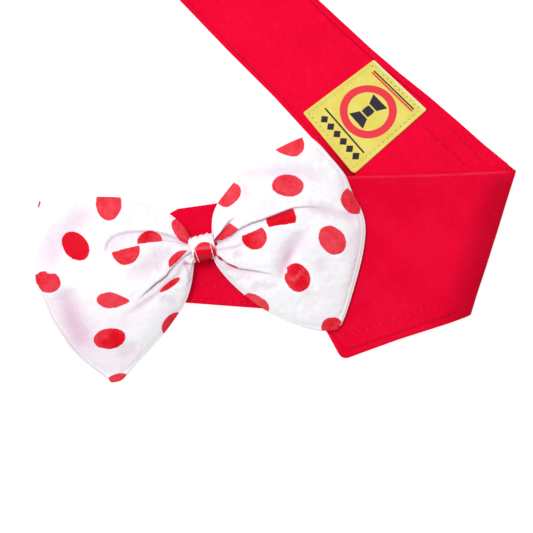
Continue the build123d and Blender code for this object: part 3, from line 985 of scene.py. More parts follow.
def build_leaf():
    arc = corner_arc(LEAF_SIDE, LEAF_POINT, LEAF_FOOT, 0.0032, 8)
    left_side = np.vstack([LEAF_SHOULDER, LEAF_SIDE, arc[:5]])
    foot_side = np.vstack([LEAF_FOLD[1], LEAF_FOOT_END, LEAF_FOOT, arc[4:][::-1]])
    plan = patch_grid((LEAF_TOP, left_side, foot_side, LEAF_FOLD), FRONT_RIM, 270, 180)
    z, shade = leaf_height(plan)
    hole = np.maximum(pits(plan, OUTER_STITCHES),
                      np.maximum(pits(plan, INNER_STITCHES) * 0.45,
                                 pits(plan, EDGE_STITCHES)))
    # a raised crease along the upper edge with a painted highlight on it, a faint darker
    # line inside it, and painted shade in the needle holes
    from_top = line_distance(plan, LEAF_TOP)
    z = z - 0.00014 * hole + 0.00008 * bell(from_top, 0.6, 1.1)
    shade = shade - 0.30 * hole - 0.02 * bell(from_top, 0.8, 2.8)
    lit = 0.19 * bell(np.maximum(from_top - FRONT_RIM / MM, 0.0), 0.22) \
        * (0.75 + 0.35 * noise(plan[..., 0], plan[..., 1], 0.006, 91))
    leaf = sheet_solid("front_leaf_cloth", plan, z, np.full_like(z, FRONT_LOW),
                       round_rim(FRONT_RIM),
                       {"wc": (weave(plan), weave(plan, 0.03)), "shade": (shade, 1.0),
                        "lite": (lit, 0.0)}, TWILL)
    attach(leaf, "collar_front", "front_leaf_lining", "front_leaf_interfacing",
           "front_leaf_outer")
    for name, stitches, cad_piece, thread in (
            ("leaf_outer_row_thread", OUTER_STITCHES, "leaf_topstitch_outer_row",
             RED_THREAD),
            ("leaf_inner_row_thread", INNER_STITCHES, "leaf_topstitch_inner_row",
             BRIGHT_THREAD),
            ("leaf_edge_thread", EDGE_STITCHES, "leaf_edge_topstitch", RED_THREAD)):
        row = stitch_mesh(name, stitches, thread, surface_z(leaf_height))
        attach(row, "collar_front", cad_piece)


# ----------------------------------------------------------- the front stand
STAND_ROWS = [metres([(-101.5, -72.0), (-71.1, -74.3), (-38.7, -76.7), (-22.5, -77.2)]),
              metres([(-101.5, -66.0), (-71.1, -68.2), (-38.7, -70.0), (-27.5, -70.6)])]


def stand_height(plan):
    """Height and shade of the stand's upper face."""
    x, y = plan[..., 0], plan[..., 1]
    sunk, darker = furrows(plan, [(row, 1) for row in STAND_ROWS], 0.00012, 0.03)
    z = FRONT_TOP - 0.00004 + 0.00010 * noise(x, y, 0.018, 21) - sunk
    # painted shade in the stitch furrows, and random darker tone
    shade = 1.0 - 0.05 * smooth(noise(x, y, 0.015, 73)) - darker
    return np.minimum(z, FRONT_TOP), shade


def build_stand():
    """Plain strip left of the leaf, with rounded left corners."""
    right_side = metres([(-46.9, -33.4), (-20.2, -78.7)])
    top = metres([(-58.7, -35.9), (-74.9, -38.2), (-79.2, -40.7)])
    foot = metres([(-38.7, -78.3), (-71.1, -75.9)])
    corner_top, corner_foot = metres([(-103.9, -45.4), (-103.9, -73.5)])
    arc_top = corner_arc(top[-1], corner_top, corner_foot, 0.007, 8)
    arc_foot = corner_arc(corner_top, corner_foot, foot[-1], 0.007, 8)
    top_side = np.vstack([right_side[0], top, arc_top[:5]])
    left_side = np.vstack([arc_top[4:], arc_foot[:5]])
    foot_side = np.vstack([right_side[1], foot, arc_foot[4:][::-1]])
    plan = patch_grid((top_side, left_side, foot_side, right_side), FRONT_RIM, 210, 110)
    stitches = walk(STAND_ROWS[0]) + walk(STAND_ROWS[1])
    z, shade = stand_height(plan)
    hole = pits(plan, stitches)
    z = z - 0.00014 * hole
    # the shade below also has painted shade in the needle holes
    stand = sheet_solid("front_stand_cloth", plan, z,
                        np.full_like(z, FRONT_LOW + 0.0001), round_rim(FRONT_RIM),
                        {"wc": (weave(plan), weave(plan, 0.04)),
                         "shade": (shade - 0.16 * hole, 1.0)}, TWILL)
    attach(stand, "collar_front", "front_stand_lining", "front_stand_interfacing",
           "front_stand_outer")
    thread = stitch_mesh("stand_thread", stitches, BRIGHT_THREAD, surface_z(stand_height))
    attach(thread, "collar_front", "stand_topstitch")


def build_fold_bend():
    """U of cloth from the underside, round the outside, to the upper face.
    It runs on a little way over both faces, so no join shows."""
    rows, arc_steps = 150, 40
    radius, mid_z = (FRONT_TOP - BACK_LOW) / 2, (FRONT_TOP + BACK_LOW) / 2
    reach = float(fold_coords(FOLD_TOP)[0])
    tabs = [-0.0018, -0.0014, -0.0010, -0.0006, -0.0002]
    outer = [(out, BACK_LOW) for out in tabs]
    outer += [(reach * math.cos(a), mid_z + radius * math.sin(a))
              for a in np.linspace(-math.pi / 2, math.pi / 2, arc_steps)]
    outer += [(out, FRONT_TOP) for out in tabs[::-1]]
    inner = []
    for out, z in outer[::-1]:
        if out <= 0:
            inner.append((out, BACK_LOW + 0.0019 if z < mid_z else FRONT_TOP - 0.0016))
        else:
            step = unit(np.array([out, z - mid_z])) * 0.0005
            inner.append((step[0], mid_z + step[1]))
    ring = np.array(outer + inner)
    unrolled = arc_length(ring)
    top_start = unrolled[len(tabs) + arc_steps - 1]
    # the four edges that run into the fold: lower and upper face at its
    # top, then at its foot
    edges = ((FOLD_TOP, BAND_RIGHT[-1]), (FOLD_TOP, LEAF_TOP_END),
             (FOLD_FOOT, BAND_LEFT[-1]), (FOLD_FOOT, LEAF_FOOT_END))
    spans = []
    for out, z in ring:
        ends = [float(fold_coords(edge_at(*edge, out))[1]) for edge in edges]
        share = float(smooth((z - BACK_LOW) / (FRONT_TOP - BACK_LOW)))
        gap = 0.00005 + 0.00025 * float(smooth(-out / 0.0016))
        spans.append((ends[0] + (ends[1] - ends[0]) * share + gap,
                      ends[2] + (ends[3] - ends[2]) * share - gap))
    verts, coords, shade = [], [], []
    for i in range(rows):
        t = 0.5 - 0.5 * math.cos(math.pi * i / (rows - 1))
        for j, (out, z) in enumerate(ring):
            is_outer = j < len(outer)
            start, end = spans[j]
            y = start + (end - start) * t
            # the ends of the roll are rounded off
            full = min(1.0, (min(y - start, end - y) + 0.0001) / 0.0012)
            full = math.sqrt(max(0.0, 1 - (1 - full) ** 2))
            width = out * (0.86 + 0.14 * full) if out > 0 else out
            near = 0.84 + 0.16 * full
            height = mid_z + (z - mid_z) * near
            if z > mid_z and is_outer:
                if out <= 0:
                    height = FRONT_TOP - float(roll_off(out)) - 0.0006 * (1 - near) * 3
                    height -= 0.00012 - 0.00013 * (out > -0.0012) \
                        + 0.00007 * (out < -0.0016)
                else:
                    height -= ROLL_DROP * (z - mid_z) / (FRONT_TOP - mid_z)
            width += 0.00010 * float(noise(y, z, 0.013, 8)) * (out > 0)
            point = FOLD_AXIS + FOLD_OUT * width + FOLD_ALONG * y
            verts.append((*point, height))
            on_face = not is_outer or (out <= 0 and z > mid_z)
            flat = out if on_face else top_start - unrolled[j]
            coords.append((*(FOLD_AXIS + FOLD_OUT * flat + FOLD_ALONG * y), 0.0))
            # painted shade on the upper face as it turns over the fold
            tone = 0.0
            if is_outer and z > mid_z:
                tone = float(fold_shade(min(out, 0.0012), y))
            shade.append(1.0 - tone)
    bend = make_dressed("fold_bend_cloth", verts, tube_faces(0, rows, len(ring)), TWILL,
                        {"wc": coords, "shade": shade})
    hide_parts("fold_bend_outer_layer", "fold_bend_inner_layer")
    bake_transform(bend)


# --------------------------------------------------------------------- label
# mm: length along the band and width across it; seam is the stitches' inset
LABEL_LENGTH, LABEL_WIDTH, SEAM = 30.3, 37.0, 1.7


def label_plan(along, across):
    """Label coordinates in mm, from its left corner, to plan metres."""
    u = np.asarray(along / LABEL_LENGTH)[..., None]
    v = np.asarray(across / LABEL_WIDTH)[..., None]
    return ((1 - u) * (1 - v) * LABEL_LEFT + u * (1 - v) * LABEL_FOOT
            + (1 - u) * v * LABEL_TOP + u * v * LABEL_RIGHT)


def round_corner(along, across, corner_along, corner_across, radius):
    """Pulls a square corner of the label in to a quarter round."""
    sign_a = -1 if corner_along < 1 else 1
    sign_b = -1 if corner_across < 1 else 1
    centre_a = corner_along - sign_a * radius
    centre_b = corner_across - sign_b * radius
    da, db = (along - centre_a) / radius, (across - centre_b) / radius
    inside = (np.sign(da) == sign_a) & (np.sign(db) == sign_b)
    scale = np.maximum(np.abs(da), np.abs(db)) / np.maximum(np.hypot(da, db), 1e-9)
    return (np.where(inside, centre_a + da * scale * radius, along),
            np.where(inside, centre_b + db * scale * radius, across))


def box_field(x, y, centre_x, centre_y, half_x, half_y, rounding=0.0):
    """Distance inside a box with rounded corners."""
    qx = np.abs(x - centre_x) - half_x + rounding
    qy = np.abs(y - centre_y) - half_y + rounding
    return -(np.hypot(np.maximum(qx, 0), np.maximum(qy, 0))
             + np.minimum(np.maximum(qx, qy), 0) - rounding)


def polygon_field(x, y, points):
    """Distance inside a convex polygon."""
    centre = np.mean(points, 0)
    edges = zip(points, points[1:] + points[:1])
    return np.min([half_plane(x, y, start, end, centre) for start, end in edges], 0)


def label_motif(x, y):
    """Red and ink fields: a bow shape in a ring, with lozenges and bars."""
    centre_x, centre_y = 20.4, 15.2
    from_centre = np.hypot(x - centre_x, y - centre_y)
    red = np.minimum(11.1 - from_centre, from_centre - 8.0)
    ink = box_field(x, y, centre_x, centre_y, 1.5, 1.9, rounding=0.5)
    for side in (-1, 1):
        outer, inner = centre_x + side * 6.3, centre_x + side * 0.6
        ink = np.maximum(ink, polygon_field(x, y, [
            (outer, centre_y - 4.1), (outer, centre_y + 4.1),
            (inner, centre_y + 1.2), (inner, centre_y - 1.2)]))
    # two clear strips part the wings from the knot
    for side in (-1, 1):
        ink = np.minimum(ink, np.abs(x - centre_x - side * 2.15) - 0.28)
    for k in range(6):
        low = 5.2 + k * 3.75
        ink = np.maximum(ink, polygon_field(x, y, [
            (5.0, low), (6.9, low + 1.7), (5.0, low + 3.4), (3.1, low + 1.7)]))
    for bar_x, half_width in ((8.2, 0.35), (33.7, 0.32)):
        ink = np.maximum(ink, box_field(x, y, bar_x, centre_y, half_width, 11.6))
    red = np.maximum(red, box_field(x, y, 32.7, centre_y, 0.38, 11.6))
    return red, ink


def build_label():
    along, across = np.meshgrid(np.linspace(0, 1, 190) * LABEL_LENGTH,
                                np.linspace(0, 1, 150) * LABEL_WIDTH, indexing="ij")
    edge = np.minimum(np.minimum(along, LABEL_LENGTH - along),
                      np.minimum(across, LABEL_WIDTH - across))
    rounded = along, across
    for corner in ((0.0, 0.0, 0.5), (LABEL_LENGTH, 0.0, 1.5),
                   (LABEL_LENGTH, LABEL_WIDTH, 0.6), (0.0, LABEL_WIDTH, 0.6)):
        rounded = round_corner(*rounded, *corner)
    red, ink = label_motif(across, along)
    pale = 0.55 - np.abs(LABEL_WIDTH - across - 0.10) + 0.10 * noise(along, across, 1.1, 6)
    far_along, far_across = LABEL_LENGTH - SEAM, LABEL_WIDTH - SEAM
    seam = [(SEAM, SEAM), (far_along, SEAM), (far_along, far_across),
            (SEAM, far_across), (SEAM, SEAM)]
    # needle holes between the stitches, coloured with painted shade
    hole = np.full_like(along, -5.0)
    for point, _ in walk(seam, start=0.0, pitch=2.2, end=0.0):
        hole = np.maximum(hole, 0.26 - np.hypot(along - point[0], across - point[1]))
    z = LABEL_Z - 0.00002 - 0.00016 * bell(edge, 0.55, SEAM) \
        + 0.00010 * bell(edge, 0.4, 0.55) + 0.00005 * noise(along, across, 7.0, 4)
    z = z + 0.00003 * (smooth(ink / 0.3 + 0.5) + smooth(red / 0.3 + 0.5))
    z = z - 0.00025 * smooth(hole / 0.2 + 0.5)
    coords = weave(np.stack([across, along], -1) * MM)
    label = sheet_solid("woven_label_cloth", label_plan(*rounded), z,
                        np.full_like(z, LABEL_Z - 0.0005), round_rim(0.00012, 3),
                        {"wc": (coords, coords), "red": (red, -3.0), "ink": (ink, -3.0),
                         "pale": (pale, -3.0), "hole": (hole, -3.0)}, LABEL)
    attach(label, "collar_back", "woven_label")
    seam_line = [label_plan(*point) for point in seam]
    thread = stitch_mesh("label_stitch_thread",
                         walk(seam_line, start=0.0011, pitch=0.0022, end=0.0004),
                         LABEL_THREAD, LABEL_Z - 0.00018, length=0.00150, radius=0.00015)
    attach(thread, "collar_back", "label_stitching")


# ------------------------------------------------- tail thread and the tapes
def on_tail(out, side):
    """Point in metres from mm along and across the tail."""
    return TAIL_ROOT + TAIL_OUT * out * MM + BEND_ALONG * side * MM


def build_tail_thread():
    arc_left, arc_right = tip_arcs(10)
    loop = inset_loop(np.vstack([TAIL_RIGHT, arc_right[::-1], arc_left, TAIL_LEFT]),
                      0.0022)
    stitches = [stitch for stitch in walk(closed(loop), end=0.001)
                if (stitch[0] - BEND_MID) @ TAIL_OUT > 0.0060]
    thread = stitch_mesh("tail_topstitch_thread", stitches, RED_THREAD,
                         BACK_TOP - 0.00004)
    attach(thread, "tail_tab", "tail_topstitch")


def inside_polygon(point, polygon):
    x, y = point
    inside = False
    for i, (x0, y0) in enumerate(polygon):
        x1, y1 = polygon[i - 1]
        if (y0 > y) != (y1 > y) and x < (x1 - x0) * (y - y0) / (y1 - y0) + x0:
            inside = not inside
    return inside


def pile_mesh(name, polygon, middle, u, w, z, pitch, finish, hooked):
    """A field of small hooks, or of loops strewn about at random."""
    verts, faces = [], []
    number = 0
    around = 5
    polygon = inset_loop(polygon, 0.0022)
    span = int(0.020 / pitch)
    for i in range(-span, span + 1):
        for j in range(-span, span + 1):
            point = middle + u * (i * pitch + 0.5 * pitch * (j % 2)) + w * j * pitch * 0.86
            number += 1
            random_turn, random_height = float(hash01(number, 1)), float(hash01(number, 2))
            if not hooked:
                point = point + (u * (random_turn - 0.5)
                                 + w * (random_height - 0.5)) * pitch * 0.8
            if not inside_polygon(point, polygon):
                continue
            # profile: (distance along, height)
            if hooked:
                turn = 0.0 if j % 2 else math.pi
                profile = [(0, -0.0001), (0, 0.00028), (0.00005, 0.00048),
                           (0.0002, 0.00056), (0.00034, 0.00048), (0.00036, 0.00034)]
                radius = 0.00009
            else:
                turn = random_turn * 6.283
                height = 0.00042 * (0.7 + 0.6 * random_height)
                profile = [(-0.0004, -0.0001), (-0.00036, height * 0.6),
                           (-0.00012, height), (0.00018, height * 0.92),
                           (0.0004, height * 0.5), (0.00042, -0.0001)]
                radius = 0.00006
            c, s = math.cos(turn), math.sin(turn)
            along, across = u * c + w * s, w * c - u * s
            tangents = unit(np.gradient(np.array(profile), axis=0))
            tube = []
            for (out, up), (tangent_x, tangent_z) in zip(profile, tangents):
                ring = []
                for k in range(around):
                    angle = 2 * math.pi * k / around
                    side, rise = math.cos(angle) * radius, math.sin(angle) * radius
                    spot = point + along * (out - tangent_z * rise) + across * side
                    ring.append((*spot, z + up + tangent_x * rise))
                tube.append(ring)
            add_tube(verts, faces, tube)
    return make_dressed(name, verts, faces, finish)


def build_tape(kind, corners, radii, drop, body, finish, middle, u, w, pitch):
    """Tape patch, its pile and its stitching. drop lowers the tape's face."""
    low, high = (corner.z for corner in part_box(f"{kind}_patch"))
    top = high - drop
    outline = np.vstack([corner_arc(corners[i - 1], corners[i], corners[(i + 1) % 4],
                                    radii[i], 6) for i in range(4)])
    # profile: (inset, height)
    profile = [(0.0, low - 0.0001), (0.0, top - 0.00015), (0.00015, top - 0.00003),
               (0.0006, top)]
    verts, faces = [], []
    add_tube(verts, faces, [[(x, y, z) for x, y in inset_loop(outline, inset)]
                            for inset, z in profile])
    tape = make_dressed(f"{kind}_patch_tape", verts, faces, finish, smooth_faces=False)
    attach(tape, body, f"{kind}_patch")
    pile = pile_mesh(f"{kind}_field", outline, middle, u, w, top, pitch, finish,
                     hooked=kind == "hook")
    attach(pile, body)
    row = walk(closed(inset_loop(outline, 0.0013)), start=0.0008, pitch=0.0025, end=0.0008)
    thread = stitch_mesh(f"{kind}_patch_thread", row, RED_THREAD, top - 0.00006,
                         length=0.0017)
    attach(thread, body, f"{kind}_patch_stitching")


# ======================================================================= BOW
# All in mm from the label's middle. The table of each wing holds:
#   top, outer, foot, inner: outline; top and foot run away from the knot
#   dots: x, y, radius, radius across, turn [, radius of the tip, its taper]
#   cut_dots: oval or None, straight cuts (start, end, side kept), bite or None
#   pale, sheen_and_shade_spots: painted sheen on the red, and spots of x, y, radius,
#              value; values below the base give painted shade
#   valleys: (depth, width, fade in, fade out, painted pink shade), line
#   creases: (drop, width of the low side, lip, lip width, softness, fade in,
#             fade out, painted shade of the dark line, painted pink shade,
#             start of the dark line), a point on the high side, line
#   pink_shade_patches: spots of painted pink shade: x, y, radius, radius across, turn,
#       amount
#   into: from the inner edge into the knot
#   hem: places across the wing, and how far the lower face shows there
#   low_z, outer_z: lowest height, and the height of the outer edge
LEFT_WING = {
    "top": [(-70.08, -48.72), (-72.08, -45.12), (-75.28, -41.72), (-78.68, -39.12),
            (-82.48, -37.32), (-86.08, -35.92), (-91.68, -34.20), (-97.92, -32.80),
            (-107.88, -32.48), (-118.08, -32.36), (-127.76, -32.24)],
    "outer": [(-127.76, -32.24), (-129.68, -33.12), (-131.04, -36.92),
              (-131.44, -45.72), (-131.68, -55.72), (-132.00, -63.32),
              (-131.36, -67.32), (-129.12, -72.12), (-125.68, -80.72),
              (-122.48, -86.00), (-118.16, -92.60), (-112.20, -98.52),
              (-105.56, -103.56), (-101.28, -106.76)],
    "foot": [(-68.48, -58.60), (-68.96, -63.32), (-69.60, -67.40), (-71.08, -72.52),
             (-72.48, -75.52), (-74.72, -79.04), (-79.68, -86.00), (-83.68, -90.64),
             (-87.68, -94.92), (-91.64, -99.24), (-94.96, -103.04), (-97.48, -105.72),
             (-101.28, -106.76)],
    "inner": [(-70.08, -48.72), (-69.16, -53.52), (-68.48, -58.60)],
    "dots": [
        (-102.56, -35.12, 5.12, 6.88), (-115.84, -52.12, 6.52, 4.8, -50),
        (-73.36, -46.28, 5.76, 2.96, -53), (-102.08, -73.80, 5.28, 3.28, -3, 7.84, 0.42),
        (-78.16, -67.72, 4.96, 1.2, 35), (-102.24, -89.12, 6.52, 4.12, 7),
        (-76.72, -83.48, 5.44, 4.0, 50), (-98.64, -106.68, 5.36, 3.52, 14),
        (-130.80, -35.72, 1.84, 0.72, 66)],
    "cut_dots": [
        ((-127.12, -66.44, 5.36, 4.36, -10), [], (-125.52, -61.16, 2.56, 2.0)),
        ((-86.08, -51.00, 5.16, 5.04),
         [((-91.28, -51.28), (-80.48, -50.16), (-86.08, -45.72))], None),
        ((-95.84, -53.72, 5.72, 5.96),
         [((-102.88, -54.92), (-90.48, -51.72), (-96.08, -58.52))], None),
        ((-73.32, -58.52, 5.68, 4.48, 30),
         [((-71.04, -54.76), (-74.72, -57.96), (-77.28, -55.72)),
          ((-74.72, -57.96), (-77.68, -61.16), (-77.28, -55.72))], None)],
    "pale": 0.62,
    "sheen_and_shade_spots": [
        (-116.08, -52.12, 8.0, -0.45), (-130.08, -66.12, 2.4, 0.05),
        (-127.68, -69.32, 2.0, 0.75), (-104.08, -34.12, 2.8, 0.35),
        (-102.88, -38.52, 3.2, 0.75), (-76.08, -82.52, 5.2, 0.10),
        (-99.68, -90.12, 5.2, -0.25), (-106.48, -86.92, 2.4, 0.40),
        (-78.88, -67.72, 4.4, 0.05), (-87.68, -48.12, 3.2, 0.10),
        (-83.68, -49.32, 2.0, 0.75), (-97.28, -56.12, 5.2, 0.30),
        (-74.08, -57.72, 3.6, 0.35), (-101.68, -73.72, 4.8, 0.70),
        (-98.88, -104.92, 4.0, 0.60), (-130.88, -35.32, 2.0, 0.15)],
    "valleys": [
        ((0.9, 1.2, 0.0, 0.5, 0.65),
         [(-72.24, -59.16), (-73.44, -60.92), (-74.64, -63.32), (-76.32, -65.32),
          (-78.56, -66.92), (-80.48, -68.72), (-82.24, -70.60), (-86.88, -74.12),
          (-91.68, -77.32), (-95.68, -79.92), (-100.48, -82.52)]),
        ((0.8, 0.9, 0.0, 0.4, 0.62),
         [(-71.76, -59.08), (-70.80, -60.92), (-70.00, -63.12), (-69.92, -65.72),
          (-70.64, -69.32)]),
        ((1.2, 4.2, 0.25, 0.35, 0.40),
         [(-108.48, -33.72), (-111.00, -37.72), (-114.88, -41.52), (-118.88, -44.92),
          (-124.08, -50.92), (-128.48, -56.92), (-131.68, -61.72)]),
        ((1.6, 4.4, 0.2, 0.3, 0.72),
         [(-122.48, -68.12), (-120.48, -72.12), (-119.28, -76.12), (-118.32, -80.00),
          (-116.88, -84.12), (-115.16, -87.84), (-114.08, -91.72), (-111.68, -96.52)]),
        ((0.5, 1.6, 0.3, 0.3, 0.35),
         [(-83.28, -72.52), (-78.88, -73.92), (-74.08, -75.72)]),
        ((0.5, 2.4, 0.3, 0.3, 0.35),
         [(-98.88, -96.52), (-94.88, -93.72), (-90.08, -92.12)]),
        ((0.4, 2.0, 0.4, 0.3, 0.30),
         [(-86.08, -54.52), (-79.68, -56.12), (-74.88, -54.12)]),
        ((0.4, 3.0, 0.4, 0.4, 0.22),
         [(-98.08, -64.12), (-89.28, -63.72), (-80.88, -58.52)]),
        ((-0.6, 5.0, 0.4, 0.4, 0.0),
         [(-122.08, -58.52), (-112.08, -62.52), (-102.08, -64.12)]),
        ((-0.5, 4.0, 0.4, 0.4, 0.0),
         [(-112.48, -73.72), (-108.48, -80.92), (-106.88, -88.12)])],
    "creases": [
        ((1.2, 3.0, 0.3, 3.0, 1.5, 0.12, 0.0, 0.0, 0.55, 0.0), (-94.08, -39.72),
         [(-104.48, -56.12), (-104.68, -53.72), (-103.68, -50.72), (-102.08, -48.52),
          (-99.48, -47.08), (-95.68, -46.12), (-91.68, -45.72), (-86.88, -45.72),
          (-82.88, -46.12), (-79.28, -47.12), (-76.08, -48.12), (-71.68, -50.12)]),
        ((1.2, 2.4, 0.4, 3.2, 0.4, 0.15, 0.0, 0.06, 0.10, 0.0), (-90.08, -58.52),
         [(-103.28, -55.08), (-98.88, -53.56), (-94.88, -52.12), (-91.12, -51.08),
          (-86.08, -50.44), (-80.64, -50.20), (-76.48, -50.52), (-71.68, -51.72)]),
        ((1.5, 1.7, 0.5, 4.0, 0.35, 0.0, 0.35, 0.85, 0.35, 0.42), (-90.08, -61.72),
         [(-69.28, -54.32), (-71.68, -55.56), (-74.24, -57.80), (-76.72, -60.04),
          (-78.48, -62.12), (-79.60, -63.80), (-81.68, -65.52), (-83.80, -66.92),
          (-86.88, -69.72), (-90.08, -72.68), (-92.88, -74.72)]),
        ((0.5, 0.7, 0.3, 1.6, 0.35, 0.0, 0.4, 0.45, 0.10, 0.0), (-70.88, -56.12),
         [(-68.08, -58.76), (-69.84, -59.16), (-72.00, -58.92), (-73.04, -60.12)])],
    "pink_shade_patches": [
        (-114.08, -82.52, 6.8, 10.4, 28, 0.42), (-110.08, -91.72, 5.2, 5.2, 0, 0.25),
        (-86.88, -59.32, 7.6, 4.4, 20, 0.38), (-96.48, -80.92, 12.0, 4.4, 38, 0.22),
        (-82.08, -80.92, 6.4, 4.0, 50, 0.02), (-98.08, -97.72, 9.6, 4.8, 30, 0.30),
        (-86.08, -85.72, 8.8, 5.6, 52, 0.02), (-127.28, -73.72, 2.4, 6.4, 24, 0.16),
        (-124.48, -56.92, 6.8, 3.6, 42, 0.36), (-107.68, -94.52, 6.0, 4.0, -35, 0.12),
        (-115.68, -44.92, 10.4, 5.2, 42, 0.20)],
    "into": (3.2, 0.88),
    "hem": ([0, 0.40, 0.52, 0.75, 0.95, 1], [0, 0.1, 0.9, 1.1, 0.9, 0]),
    "low_z": 6.30, "outer_z": 7.5,
}

